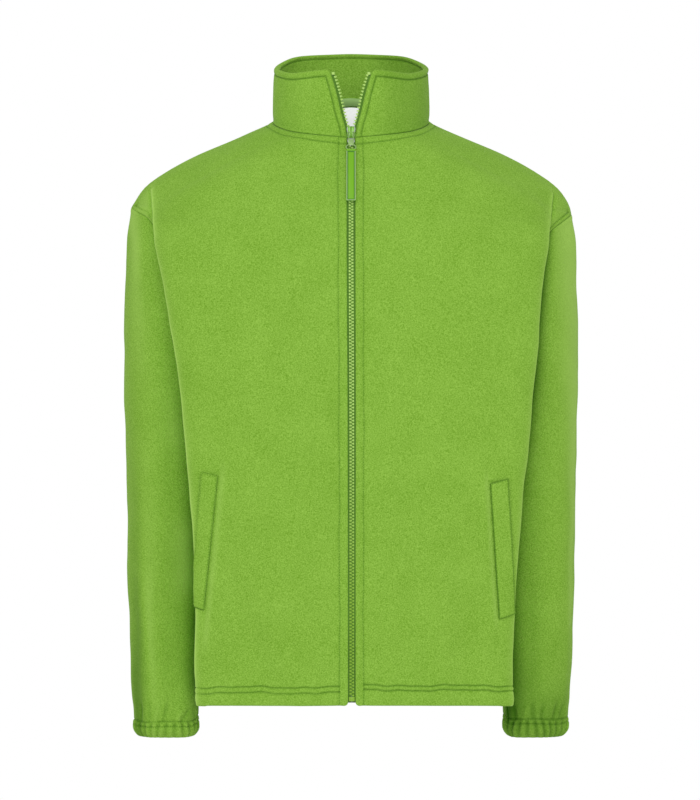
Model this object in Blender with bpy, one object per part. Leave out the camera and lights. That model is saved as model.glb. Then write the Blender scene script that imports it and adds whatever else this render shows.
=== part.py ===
"""Full-zip fleece jacket as worn: every sewn piece is one lofted cloth wall.

Working units are millimetres and are scaled to metres when a mesh is made.
+X is the wearer's left, -Y the front, +Z up.
The origin lies between the shoulders, level with the side of the neck seam.
"""
import math

import bmesh
import bpy
import numpy as np

# driving sizes (mm)
WALL = 2.5            # one layer of fleece
HEM_WALL = 4.5        # fleece turned up at the hem
COLLAR_WALL = 5.0     # collar, folded double
SEAM_GAP = 0.4        # clear space between two sewn pieces
SLEEVE_GAP = 0.5      # how far the sleeve keeps off the armhole seam
COLLAR_GAP = 0.6      # how far the collar keeps off the neck seam
HEM_Z = -681.0
HEM_DEPTH = 19.0      # fleece turned up inside the hem
ARMPIT = (166.0, 16.0, -340.0)
SHOULDER = (263.5, 5.0, -93.6)
NECK_SIDE = (94.0, 0.0, 6.0)
ZIP_EDGE = 5.4        # centre line to the fleece edge
ZIP_HALF = 3.6        # half width of the closed chain
CHAIN_THICK = 2.8
TAPE_EDGE = 14.0      # centre line to the outer edge of the zip tape
TAPE_THICK = 0.9
LABEL_HALF = 29.0

# Rows and points, as shares of a seam or of a level.
SIDE_ROWS = (0.0, 0.03, 0.056, 0.08, 0.2, 0.34, 0.48, 0.62, 0.76, 0.89, 1.0)
ARM_ROWS = (0.0, 0.07, 0.15, 0.235, 0.32, 0.4, 0.48, 0.56, 0.635, 0.705, 0.77, 0.83,
            0.885, 0.94, 1.0)
ARM_STEPS = len(ARM_ROWS) - 1
SHOULDER_ROWS = (0.0, 0.09, 0.19, 0.31, 0.45, 0.6, 0.8, 1.0)
FRONT_INNER = (0.0, 0.045, 0.14, 0.25, 0.37, 0.5, 0.63, 0.75, 0.86, 0.94, 1.0)
FRONT_OUTER = (0.18, 0.38, 0.6, 0.8, 1.0)
BACK_INNER = (0.0, 0.15, 0.32, 0.5, 0.68, 0.85, 1.0)
BACK_OUTER = (0.28, 0.52, 0.76, 1.0)
GATHERS = 32          # round one sleeve end
CUFF_POINTS = 4       # outer points to a point of the plain wall inside

# Body levels. at: 0 hem, 1 armpit, 2 shoulder point, 3 neck side.
# centre_* is the middle line and fold_* the place where the cloth turns to the
# side. Turns are headings in degrees, pulls are shares of the chord to the seam.
FRONT_NAMES = ("at", "centre_y", "centre_z", "fold_right", "fold_left", "fold_y",
               "fold_z", "fold_turn", "edge_turn", "fold_pull", "edge_pull")
FRONT_LEVELS = (
    (0.00, -118, -681, 181.5, 191.5, -58, -681, 90, 92, 0.22, 0.55),
    (0.10, -120, -648, 183.5, 191.5, -59, -648, 90, 92, 0.22, 0.55),
    (0.33, -124, -569, 184.5, 192.3, -60, -569, 90, 92, 0.20, 0.58),
    (0.55, -127, -494, 185.8, 197.5, -60, -494, 90, 92, 0.18, 0.62),
    (0.75, -130, -426, 192.0, 203.0, -61, -426, 90, 93, 0.16, 0.66),
    (0.88, -131, -381, 194.0, 209.0, -62, -381, 90, 94, 0.16, 0.70),
    (1.00, -132, -340, 198.4, 213.0, -63, -340, 90, 96, 0.16, 0.72),
    (1.20, -133, -286, 205.0, 218.5, -67, -286, 90, 98, 0.22, 0.68),
    (1.40, -132, -235, 213.5, 223.5, -70, -235, 90, 100, 0.28, 0.66),
    (1.56, -130, -185, 219.5, 226.0, -71, -183, 90, 100, 0.32, 0.62),
    (1.635, -128, -162, 224.0, 228.5, -70, -161, 90, 100, 0.32, 0.60),
    (1.705, -125, -146, 228.0, 231.5, -66, -144, 90, 96, 0.34, 0.48),
    (1.77, -122, -134, 231.0, 234.0, -60, -129, 86, 86, 0.34, 0.38),
    (1.83, -119, -124, 233.0, 235.0, -56, -115, 74, 66, 0.34, 0.36),
    (1.885, -117, -117, 231.0, 232.0, -54, -106, 62, 58, 0.34, 0.36),
    (1.94, -115, -110, 226.0, 227.0, -54, -99, 54, 60, 0.34, 0.36),
    (2.00, -113, -104, 220.0, 221.0, -54, -93, 50, 70, 0.34, 0.36),
    (2.25, -104, -82, 199.0, 199.0, -53, -76, 54, 80, 0.34, 0.36),
    (2.50, -96, -62, 165.0, 165.0, -53, -57, 56, 84, 0.34, 0.36),
    (2.75, -88, -40, 121.0, 121.0, -54, -34, 54, 86, 0.34, 0.36),
    (3.00, -80, -18, 73.0, 73.0, -53, -8, 50, 84, 0.34, 0.36),
)
BACK_NAMES = ("at", "centre_y", "centre_z", "fold_x", "fold_y", "fold_z",
              "fold_turn", "edge_turn")
BACK_LEVELS = (
    (0.00, 112, -681, 160, 62, -681, 82, 90),
    (0.33, 114, -569, 162, 64, -569, 84, 90),
    (0.66, 120, -456, 164, 66, -456, 84, 90),
    (0.88, 126, -381, 162, 68, -381, 82, 92),
    (1.00, 129, -340, 163, 72, -340, 76, 94),
    (1.20, 132, -292, 168, 92, -292, 60, 72),
    (1.40, 133, -238, 170, 104, -238, 44, 50),
    (1.60, 131, -186, 176, 106, -186, 40, 42),
    (1.80, 124, -132, 196, 94, -134, 44, 50),
    (2.00, 116, -92, 226, 60, -98, 54, 74),
    (2.25, 108, -62, 206, 58, -74, 58, 78),
    (2.50, 98, -32, 166, 60, -46, 56, 82),
    (2.75, 86, 2, 120, 58, -14, 52, 84),
    (3.00, 75, 33, 72, 50, 24, 46, 82),
)
# Side seam from the hem to the armpit.
SIDE_SEAM_NAMES = ("z", "x", "y")
SIDE_SEAM_POINTS = (
    (-681, 158, 15),
    (-600, 159, 15),
    (-500, 159, 15),
    (-400, 160, 15),
    (-340, 166, 16),
)
# Armhole seam from the shoulder point down the front, then up the back.
ARM_FRONT = ((261.5, -11, -95.5), (253, -27, -100), (240, -40, -107), (217, -51, -146),
             (198, -52, -195), (182, -38, -270), (171, -14, -318))
ARM_BACK = ((171, 46, -322), (182, 78, -270), (196, 91, -205),
            (219, 82, -150), (241, 58, -116), (256, 31, -99))
SHOULDER_SEAM = ((248, 5, -71), (222, 4, -52), (185, 3, -32), (142, 2, -14))

# Sleeve rings. along: 0 armhole, 1 sleeve end. outer/inner: far and near
# side of the ring seen from the front; depth is half its size front to back.
SLEEVE_NAMES = ("along", "outer_x", "outer_z", "inner_x", "inner_z",
                "middle_y", "depth")
SLEEVE_LEVELS = (
    (0.00, 263.5, -93.6, 166, -340, 19, 72),
    (0.06, 270.5, -134, 178, -344, 22, 72),
    (0.13, 272.5, -184, 182, -353, 24, 72),
    (0.21, 274.0, -240, 181, -365, 26, 72),
    (0.30, 274.0, -300, 180, -384, 28, 71),
    (0.40, 272.7, -362, 180, -412, 29, 69),
    (0.51, 271.5, -430, 180, -452, 29, 65),
    (0.63, 270.3, -505, 181, -510, 27, 59),
    (0.75, 268.6, -578, 182, -578, 24, 52),
    (0.86, 266.0, -640, 183, -640, 20, 44),
    (0.94, 264.0, -685, 183, -685, 18, 38),
    (0.965, 262.6, -698, 183, -698, 18, 36.5),
    (1.00, 261.6, -731, 183, -731, 18, 34),
)
SLEEVE_ROWS = (0.0, 0.02, 0.045, 0.08, 0.125, 0.18, 0.245, 0.32, 0.41, 0.51,
               0.61, 0.71, 0.81, 0.9, 0.953)
# Gathered end: z, height of the gathers, thickness of the wall.
CUFF_NAMES = ("z", "gather", "wall")
CUFF_LEVELS = (
    (-704, 0.7, 2.5),
    (-711, 1.6, 2.5),
    (-715.5, 1.9, 4.2),
    (-719, 1.7, 4.4),
    (-728.5, 1.3, 4.4),
    (-731, 0.8, 2.6),
)

# Large soft folds of the body: from (x0, z0) to (x1, z1), half width, height.
FOLD_NAMES = ("piece", "x0", "z0", "x1", "z1", "half", "height")
FOLDS = (
    ("front_right", 118, -290, 112, -430, 26, 1.8),
    ("front_right", 76, -280, 66, -420, 24, -2.2),
    ("front_right", 36, -330, 30, -500, 20, 1.4),
    ("front_right", 128, -560, 104, -640, 20, -2.4),
    ("front_right", 96, -580, 62, -676, 22, 2.0),
    ("front_left", 120, -250, 128, -420, 30, 1.4),
    ("front_left", 60, -430, 66, -640, 24, -1.6),
    ("front_left", 104, -480, 98, -660, 22, 1.6),
    ("front_left", 140, -590, 132, -676, 16, -1.4),
    ("back", -95, -230, -78, -640, 30, -3.0),
    ("back", 88, -240, 80, -640, 30, -2.6),
    ("back", 4, -300, 0, -660, 34, 2.2),
)

# Collar rows, up from 0 at the seam to 1 at the rim. edge is the distance from
# the middle to the fleece edge, swell how far the row stands out.
COLLAR_NAMES = ("up", "edge", "swell")
COLLAR_LEVELS = (
    (0.00, 5.4, 0.0),
    (0.12, 6.4, 0.5),
    (0.35, 11.2, 1.0),
    (0.62, 15.8, 1.1),
    (0.84, 18.8, 0.7),
    (0.97, 21.6, 0.2),
)
RIM_FRONT = (23.0, -81.0, 62.0)
RIM_FOLD = (70.0, -57.0, 59.0)
RIM_SIDE = (92.6, 2.0, 73.0)
RIM_BACK_FOLD = (69.0, 58.0, 93.2)
RIM_BACK = (0.0, 82.0, 99.0)

# Pocket welts on the fronts: inner edge at top and bottom, and its width.
WELT_NAMES = ("side", "top_x", "top_z", "low_x", "low_z", "width", "tilt")
WELTS = (
    ("right", 156.5, -412, 173.0, -570, 20.5, 3.0),
    ("left", 162.5, -420, 173.5, -580.5, 20.5, 3.5),
)
WELT_THICK = 1.8
SIGN = {"left": 1.0, "right": -1.0}

# Zip hardware
NECK_BASE = -18.5     # where the fronts end and the collar opening begins
BOX_TOP = -670.4
TEETH_LEVELS = (-4.2, 4.0, 14.0, 25.0, 36.0, 47.0, 56.5)
SLIDER_TOP = -5.0
SLIDER_TALL = 14.0
SLIDER_HALF = 5.0
SLIDER_Y = -77.6
PLATE = 1.4           # one plate of the slider
PLATE_GAP = 4.0
HINGE_Y = -82.9
HINGE_Z = -11.5
PULL_TILT = 21.0
TAB_HALF = 5.2
TAB_LONG = 64.75      # hanger bar to the lower end of the tab

# Colours
FLEECE = (0.27, 0.50, 0.07)
FLEECE_SHADE = (0.22, 0.43, 0.05)
TAPE_GREEN = (0.22, 0.42, 0.09)
ZIP_GREEN = (0.20, 0.37, 0.06)
LABEL_WHITE = (0.86, 0.86, 0.87)
METAL = (0.62, 0.63, 0.62)


def table(names, rows):
    """Columns of a table by name."""
    return {name: [row[k] for row in rows] for k, name in enumerate(names)}


def smooth(xs, ys, x):
    """Cubic through the listed values, with slopes from the neighbours."""
    last = len(xs) - 1
    k = min(max(int(np.searchsorted(xs, x, side="right")) - 1, 0), last - 1)

    def slope(i):
        if i == 0 or i == last:
            j = 0 if i == 0 else last - 1
            return (ys[j + 1] - ys[j]) / (xs[j + 1] - xs[j])
        before = (ys[i] - ys[i - 1]) / (xs[i] - xs[i - 1])
        after = (ys[i + 1] - ys[i]) / (xs[i + 1] - xs[i])
        if before * after <= 0:
            return 0.0
        return 2 * before * after / (before + after)

    step = xs[k + 1] - xs[k]
    t = (x - xs[k]) / step
    a, b = slope(k) * step, slope(k + 1) * step
    return ((2 * t**3 - 3 * t**2 + 1) * ys[k] + (t**3 - 2 * t**2 + t) * a
            + (3 * t**2 - 2 * t**3) * ys[k + 1] + (t**3 - t**2) * b)


def look(levels, name, at):
    """Value of a column at a place between the rows."""
    key = next(iter(levels))
    return smooth(levels[key], levels[name], at)


def unit(v):
    return v / max(np.linalg.norm(v), 1e-9)


def spline(points, count):
    """count + 1 points evenly spaced along a curve through the given ones."""
    pts = [np.array(p, float) for p in points]
    knots = [0.0]
    for a, b in zip(pts, pts[1:]):
        knots.append(knots[-1] + math.sqrt(np.linalg.norm(b - a)))
    dense = []
    for k in range(len(pts) - 1):
        for t in np.linspace(0, 1, 24, endpoint=False):
            dense.append(catmull(pts, knots, k, t))
    dense.append(pts[-1])
    dense = np.array(dense)
    run = np.concatenate([[0], np.cumsum(np.linalg.norm(np.diff(dense, axis=0), axis=1))])
    places = np.asarray(count) if np.ndim(count) else np.linspace(0, 1, count + 1)
    return np.array([[np.interp(s * run[-1], run, dense[:, a]) for a in range(3)]
                     for s in places])


def catmull(pts, knots, k, t):
    """Point of span k of a smooth curve through the points."""
    def slope(i):
        lo, hi = max(i - 1, 0), min(i + 1, len(pts) - 1)
        return (pts[hi] - pts[lo]) / (knots[hi] - knots[lo])
    step = knots[k + 1] - knots[k]
    a, b = slope(k) * step, slope(k + 1) * step
    return ((2 * t**3 - 3 * t**2 + 1) * pts[k] + (t**3 - 2 * t**2 + t) * a
            + (3 * t**2 - 2 * t**3) * pts[k + 1] + (t**3 - t**2) * b)


def bezier(p0, p1, p2, p3, t):
    s = 1 - t
    return s**3 * p0 + 3 * s * s * t * p1 + 3 * s * t * t * p2 + t**3 * p3


def heading(turn, face):
    """Level direction: 0 degrees runs outward, 90 runs away from the face."""
    a = math.radians(turn)
    return np.array([math.cos(a), -face * math.sin(a), 0.0])


def level_curve(start, fold, fold_turn, edge, edge_turn, face, inner, outer,
                pulls=(0.34, 0.36)):
    """One level of a panel: middle line, turn to the side, seam edge."""
    lift = np.array([0, 0, 1.0])
    reach = abs(fold[1] - start[1])
    a1 = start + np.array([0.58 * (fold[0] - start[0]), 0, (fold[2] - start[2]) / 3])
    a2 = fold - 0.58 * reach * heading(fold_turn, face)
    a2 = a2 - lift * (fold[2] - start[2]) / 3
    chord = np.linalg.norm(edge - fold)
    rise = (edge[2] - fold[2]) / 3
    b1 = fold + pulls[0] * chord * heading(fold_turn, face) + lift * rise
    b2 = edge - pulls[1] * chord * heading(edge_turn, face) - lift * rise
    return ([bezier(start, a1, a2, fold, t) for t in inner]
            + [bezier(fold, b1, b2, edge, t) for t in outer])


def fold_height(folds, piece, x, z):
    """Sum of the soft folds of a piece at a place on it."""
    total = 0.0
    for name, x0, z0, x1, z1, half, height in folds:
        if name != piece:
            continue
        along = (z - z0) / (z1 - z0)
        if along < -0.6 or along > 1.6:
            continue
        mid = x0 + (x1 - x0) * along
        fade = min(1.0, (along + 0.6) / 0.6, (1.6 - along) / 0.6)
        total += height * fade * math.exp(-((x - mid) / half) ** 2)
    return total


FRONT = table(FRONT_NAMES, FRONT_LEVELS)
BACK = table(BACK_NAMES, BACK_LEVELS)
SLEEVE = table(SLEEVE_NAMES, SLEEVE_LEVELS)
COLLAR = table(COLLAR_NAMES, COLLAR_LEVELS)
SIDE_SEAM = table(SIDE_SEAM_NAMES, SIDE_SEAM_POINTS)


# ---------------------------------------------------------------- seam lines
def seam_lines():
    """Shared seam points, for the wearer's left: side, armhole and shoulder."""
    side = []
    for at in SIDE_ROWS:
        z = HEM_Z + at * (ARMPIT[2] - HEM_Z)
        x = smooth(SIDE_SEAM["z"], SIDE_SEAM["x"], z)
        y = smooth(SIDE_SEAM["z"], SIDE_SEAM["y"], z)
        side.append(np.array([x, y, z]))
    front = spline((ARMPIT,) + ARM_FRONT[::-1] + (SHOULDER,), ARM_ROWS)
    back = spline((ARMPIT,) + ARM_BACK + (SHOULDER,), ARM_ROWS)
    top = spline((SHOULDER,) + SHOULDER_SEAM + (NECK_SIDE,), SHOULDER_ROWS)
    return np.array(side), front, back, top


SIDE_LINE, ARM_FRONT_LINE, ARM_BACK_LINE, TOP_LINE = seam_lines()


def edge_list(arm_line):
    """Outer edge of a panel from hem to neck, with the level of each row."""
    rows = [(at, p, ("side", k)) for k, (at, p) in enumerate(zip(SIDE_ROWS, SIDE_LINE))]
    which = "arm_front" if arm_line is ARM_FRONT_LINE else "arm_back"
    for k in range(1, ARM_STEPS + 1):
        rows.append((1 + ARM_ROWS[k], arm_line[k], (which, k)))
    for k in range(1, len(SHOULDER_ROWS)):
        rows.append((2 + SHOULDER_ROWS[k], TOP_LINE[k], ("top", k)))
    rows[len(SIDE_ROWS) - 1] = (1.0, SIDE_LINE[-1], ("armpit", 0))
    rows[len(SIDE_ROWS) - 1 + ARM_STEPS] = (2.0, arm_line[-1], ("shoulder", 0))
    rows[-1] = (3.0, TOP_LINE[-1], ("neck_side", 0))
    return rows


def front_level(side, at, edge, inner=FRONT_INNER, outer=FRONT_OUTER):
    start = np.array([ZIP_EDGE, look(FRONT, "centre_y", at), look(FRONT, "centre_z", at)])
    fold = np.array([look(FRONT, "fold_" + side, at), look(FRONT, "fold_y", at),
                     look(FRONT, "fold_z", at)])
    curve = level_curve(start, fold, look(FRONT, "fold_turn", at), edge,
                        look(FRONT, "edge_turn", at), -1, inner, outer,
                        (look(FRONT, "fold_pull", at), look(FRONT, "edge_pull", at)))
    for p in curve:
        facing = min(1.0, max(0.0, (-60 - p[1]) / 25))
        p[1] -= fold_height(FOLDS, "front_" + side, p[0], p[2]) * facing
    return curve


def front_grid(side):
    """Outer face of a front, rows from hem to neck, points from zip to seam."""
    rows = [front_level(side, at, edge) for at, edge, _ in edge_list(ARM_FRONT_LINE)]
    return place(np.array(rows), side)


def back_grid():
    """Outer face of the back, rows from hem to neck, points right to left."""
    rows = []
    for at, edge, _ in edge_list(ARM_BACK_LINE):
        start = np.array([0.0, look(BACK, "centre_y", at), look(BACK, "centre_z", at)])
        fold = np.array([look(BACK, "fold_x", at), look(BACK, "fold_y", at),
                         look(BACK, "fold_z", at)])
        half = level_curve(start, fold, look(BACK, "fold_turn", at), edge,
                           look(BACK, "edge_turn", at), 1, BACK_INNER, BACK_OUTER)
        left = np.array(half)
        right = left[1:][::-1] * np.array([-1, 1, 1])
        row = np.concatenate([right, left])
        for p in row[1:-1]:
            facing = min(1.0, max(0.0, (p[1] - 60) / 25))
            p[1] += fold_height(FOLDS, "back", p[0], p[2]) * facing
        rows.append(row)
    return np.array(rows)


def place(points, side):
    """Points of the wearer's left, mirrored when the side is the right."""
    return points * np.array([SIGN[side], 1, 1])


# ---------------------------------------------------------------- sleeves
def ring_at(along, count):
    """Oval of the sleeve at a place down it, from its far side round the front."""
    outer = np.array([look(SLEEVE, "outer_x", along), 0, look(SLEEVE, "outer_z", along)])
    inner = np.array([look(SLEEVE, "inner_x", along), 0, look(SLEEVE, "inner_z", along)])
    middle = (outer + inner) / 2
    middle[1] = look(SLEEVE, "middle_y", along)
    reach = (outer - inner) / 2
    depth = np.array([0, look(SLEEVE, "depth", along), 0])
    points = []
    for k in range(count):
        a = 2 * math.pi * k / count
        points.append(middle + math.cos(a) * reach - math.sin(a) * depth)
    return np.array(points)


def sleeve_rows():
    """Outer rings from the armhole down; the first is the armhole seam."""
    count = 2 * ARM_STEPS
    seam = np.concatenate([ARM_FRONT_LINE[::-1], ARM_BACK_LINE[1:-1]])
    rows = []
    for along in SLEEVE_ROWS:
        ring = ring_at(along, count)
        t = min(1.0, along / 0.2)
        keep = (1 - t) ** 2 * (1 + 2 * t)
        if along < 0.2:
            ring = ring + (seam - ring_at(0.0, count)) * keep
        rows.append(ring)
    return rows


def cuff_rows():
    """Gathered outer rings and plain inner rings of the sleeve end."""
    fine = 2 * ARM_STEPS * CUFF_POINTS
    outer, inner = [], []
    for z, gather, wall in CUFF_LEVELS:
        ring = ring_at(along_at(z), fine)
        coarse = ring_at(along_at(z), 2 * ARM_STEPS)
        middle = coarse.mean(axis=0)
        for k in range(fine):
            out = unit((ring[k] - middle) * np.array([1, 1, 0]))
            ring[k] = ring[k] + out * gather * gather_wave(k / fine, z)
        outer.append(ring)
        rim = np.array([p - unit((p - middle) * np.array([1, 1, 0])) * wall for p in coarse])
        inner.append(rim)
    return outer, inner


def gather_wave(share, z):
    """Uneven gathers round the sleeve end, leaning a little on the way up."""
    lean = 0.012 * (z + 718) / 14
    a = 2 * math.pi * (share + lean * math.sin(2 * math.pi * 3 * share + 0.6))
    uneven = 0.35 * math.sin(5 * a + 1.1) + 0.25 * math.sin(3 * a + 2.3)
    return 0.55 * math.cos(GATHERS * a + 1.6 * uneven) * (0.8 + 0.3 * uneven)


def along_at(z):
    """Place down the sleeve whose ring is level with z, below the elbow."""
    return float(np.interp(-z, [-v for v in SLEEVE["outer_z"]], SLEEVE["along"]))


# ---------------------------------------------------------------- normals
def grid_normals(grid, closed=False):
    """Unit normals of a grid, from the points beside each one."""
    rows, cols = grid.shape[:2]
    out = np.zeros_like(grid)
    for i in range(rows):
        for j in range(cols):
            up = grid[min(i + 1, rows - 1), j] - grid[max(i - 1, 0), j]
            if closed:
                across = grid[i, (j + 1) % cols] - grid[i, (j - 1) % cols]
            else:
                across = grid[i, min(j + 1, cols - 1)] - grid[i, max(j - 1, 0)]
            out[i, j] = unit(np.cross(across, up))
    return out


class Seams:
    """Adds up the normals of all pieces that share a seam point."""

    def __init__(self):
        self.total = {}

    def add(self, key, normal):
        self.total[key] = self.total.get(key, np.zeros(3)) + normal

    def normal(self, key):
        return unit(self.total[key])


def mitre(shared, own):
    """Offset direction at a seam, long enough to keep the wall thickness."""
    return shared / max(float(np.dot(shared, own)), 0.62)


def border_shift(point, inside, own, shared, tangent, gap=SEAM_GAP / 2):
    """Half of the seam gap, square to the seam and into the piece."""
    d = np.cross(unit(own), unit(tangent))
    d = d * (1.0 if np.dot(d, inside - point) > 0 else -1.0)
    d = d - shared * np.dot(shared, d)
    t = unit(tangent - shared * np.dot(shared, tangent))
    return unit(d - t * np.dot(t, d)) * gap


# ---------------------------------------------------------------- mesh making
def new_object(name, points, faces, colour, roughness=0.8, metallic=0.0, smooth_faces=True):
    """Mesh in metres with its own material, linked to the jacket's collection."""
    bm = bmesh.new()
    verts = [bm.verts.new(np.asarray(p) * 0.001) for p in points]
    for face in faces:
        bm.faces.new([verts[k] for k in face])
    bmesh.ops.recalc_face_normals(bm, faces=bm.faces[:])
    for face in bm.faces:
        face.smooth = smooth_faces
    mesh = bpy.data.meshes.new(name)
    bm.to_mesh(mesh)
    bm.free()
    material = bpy.data.materials.new(name)
    material.use_nodes = True
    shader = material.node_tree.nodes["Principled BSDF"]
    shader.inputs["Base Color"].default_value = (*colour, 1.0)
    shader.inputs["Roughness"].default_value = roughness
    shader.inputs["Metallic"].default_value = metallic
    mesh.materials.append(material)
    obj = bpy.data.objects.new(name, mesh)
    JACKET.objects.link(obj)
    return obj


def grid_shell(name, outer, inner, colour, **looks):
    """Closed wall between two grids of the same size."""
    rows, cols = outer.shape[:2]
    points = list(outer.reshape(-1, 3)) + list(inner.reshape(-1, 3))
    back = rows * cols

    def at(i, j, layer):
        return layer * back + i * cols + j

    faces = []
    for i in range(rows - 1):
        for j in range(cols - 1):
            faces.append([at(i, j, 0), at(i, j + 1, 0), at(i + 1, j + 1, 0), at(i + 1, j, 0)])
            faces.append([at(i, j, 1), at(i + 1, j, 1), at(i + 1, j + 1, 1), at(i, j + 1, 1)])
    rim = [(0, j) for j in range(cols - 1)]
    rim += [(i, cols - 1) for i in range(rows - 1)]
    rim += [(rows - 1, j) for j in range(cols - 1, 0, -1)]
    rim += [(i, 0) for i in range(rows - 1, 0, -1)]
    for (a, b), (c, d) in zip(rim, rim[1:] + rim[:1]):
        faces.append([at(a, b, 0), at(a, b, 1), at(c, d, 1), at(c, d, 0)])
    return new_object(name, points, faces, colour, **looks)


def ring_loft(name, rings, colour, **looks):
    """Closed body through rings; neighbours hold equal, or a multiple of, points."""
    points, starts, faces = [], [], []
    for ring in rings:
        starts.append(len(points))
        points.extend(ring)
    for k, ring in enumerate(rings):
        m = (k + 1) % len(rings)
        a, b, na, nb = starts[k], starts[m], len(ring), len(rings[m])
        if na == nb:
            for j in range(na):
                n = (j + 1) % na
                faces.append([a + j, a + n, b + n, b + j])
            continue
        coarse, fine, nc, nf = (a, b, na, nb) if na < nb else (b, a, nb, na)
        step = nf // nc
        half = step // 2
        for j in range(nc):
            here, there = coarse + j, coarse + (j + 1) % nc
            run = [fine + (j * step + s) % nf for s in range(step + 1)]
            for s in range(half):
                faces.append([here, run[s], run[s + 1]])
            faces.append([here, run[half], there])
            for s in range(half, step):
                faces.append([there, run[s], run[s + 1]])
    return new_object(name, points, faces, colour, **looks)


def ribbon(name, near, far, outward, thickness, colour, **looks):
    """Flat strip between two edge lines, thickened both ways along outward."""
    rows = []
    for a, b, n in zip(near, far, outward):
        h = n * thickness / 2
        rows.append([a - h, b - h, b + h, a + h])
    points = [p for row in rows for p in row]
    faces = [[0, 1, 2, 3], [len(points) - 4 + k for k in range(4)]]
    for i in range(len(rows) - 1):
        for k in range(4):
            n = (k + 1) % 4
            faces.append([4 * i + k, 4 * i + n, 4 * i + 4 + n, 4 * i + 4 + k])
    return new_object(name, points, faces, colour, **looks)


def blocks(name, boxes, colour, turn=None, **looks):
    """One body from touching boxes (x0, x1, y0, y1, z0, z1)."""
    marks = [sorted({round(b[2 * a + s], 4) for b in boxes for s in (0, 1)}) for a in range(3)]

    def filled(cell):
        mid = []
        for a, k in enumerate(cell):
            if k < 0 or k >= len(marks[a]) - 1:
                return False
            mid.append((marks[a][k] + marks[a][k + 1]) / 2)
        return any(b[0] < mid[0] < b[1] and b[2] < mid[1] < b[3] and b[4] < mid[2] < b[5]
                   for b in boxes)

    points, numbers, faces = [], {}, []

    def corner(i, j, k):
        if (i, j, k) not in numbers:
            numbers[(i, j, k)] = len(points)
            p = np.array([marks[0][i], marks[1][j], marks[2][k]])
            points.append(turn(p) if turn else p)
        return numbers[(i, j, k)]

    for i in range(len(marks[0]) - 1):
        for j in range(len(marks[1]) - 1):
            for k in range(len(marks[2]) - 1):
                if not filled((i, j, k)):
                    continue
                for axis in range(3):
                    for step in (0, 1):
                        beside = [i, j, k]
                        beside[axis] += 2 * step - 1
                        if filled(tuple(beside)):
                            continue
                        u, v = [a for a in range(3) if a != axis]
                        face = []
                        for du, dv in ((0, 0), (1, 0), (1, 1), (0, 1)):
                            c = [i, j, k]
                            c[axis] += step
                            c[u] += du
                            c[v] += dv
                            face.append(corner(*c))
                        faces.append(face)
    return new_object(name, points, faces, colour, smooth_faces=False, **looks)


# ---------------------------------------------------------------- all outer grids
def collar_profile():
    """Rows of the folded collar: height share and depth below its outer face."""
    wall = COLLAR_WALL
    out = [(up, 0.0) for up in COLLAR["up"]]
    top = [(0.99, 0.18 * wall), (1.0, 0.5 * wall), (0.99, 0.82 * wall)]
    return out + top + [(up, wall) for up in COLLAR["up"][::-1]]


def neck_columns(fronts, back):
    """Neck seam from the right zip edge round the back to the left one."""
    right, left = fronts["right"][-1], fronts["left"][-1]
    keys = ([("neck", "right", j) for j in range(len(right) - 1)]
            + [("neck", "back", j) for j in range(len(back[-1]))]
            + [("neck", "left", j) for j in range(len(left) - 2, -1, -1)])
    points = np.concatenate([right[:-1], back[-1], left[::-1][1:]])
    return points, keys


def rim_columns():
    """Rim of the collar, in the order of the neck seam."""
    front = np.array(level_curve(np.array(RIM_FRONT), np.array(RIM_FOLD), 50.0,
                                 np.array(RIM_SIDE), 84.0, -1, FRONT_INNER, FRONT_OUTER))
    back = np.array(level_curve(np.array(RIM_BACK), np.array(RIM_BACK_FOLD), 46.0,
                                np.array(RIM_SIDE), 84.0, 1, BACK_INNER, BACK_OUTER))
    right, left = place(front, "right"), front
    rear = np.concatenate([place(back[1:][::-1], "right"), back])
    return np.concatenate([right[:-1], rear, left[::-1][1:]])


def collar_grid(seam, rim):
    """Outer face of the collar, rows from seam to rim."""
    rows = []
    ups = list(COLLAR["up"]) + [1.0]
    edges = list(COLLAR["edge"]) + [RIM_FRONT[0]]
    swells = list(COLLAR["swell"]) + [0.0]
    for up, edge, swell in zip(ups, edges, swells):
        row = seam * (1 - up) + rim * up
        plain = ZIP_EDGE * (1 - up) + RIM_FRONT[0] * up
        for p in row:
            near = max(0.0, 1 - (abs(p[0]) - plain) / 45.0) if p[1] < 0 else 0.0
            p[0] += math.copysign((edge - plain) * near**2, p[0])
            away = unit(np.array([p[0], p[1], 0.0]))
            p[:] += away * swell
        rows.append(row)
    return np.array(rows)


def row_keys(line):
    """Names of the shared seam points up the outer edge of a panel."""
    return [key for _, _, key in edge_list(line)]


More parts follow.
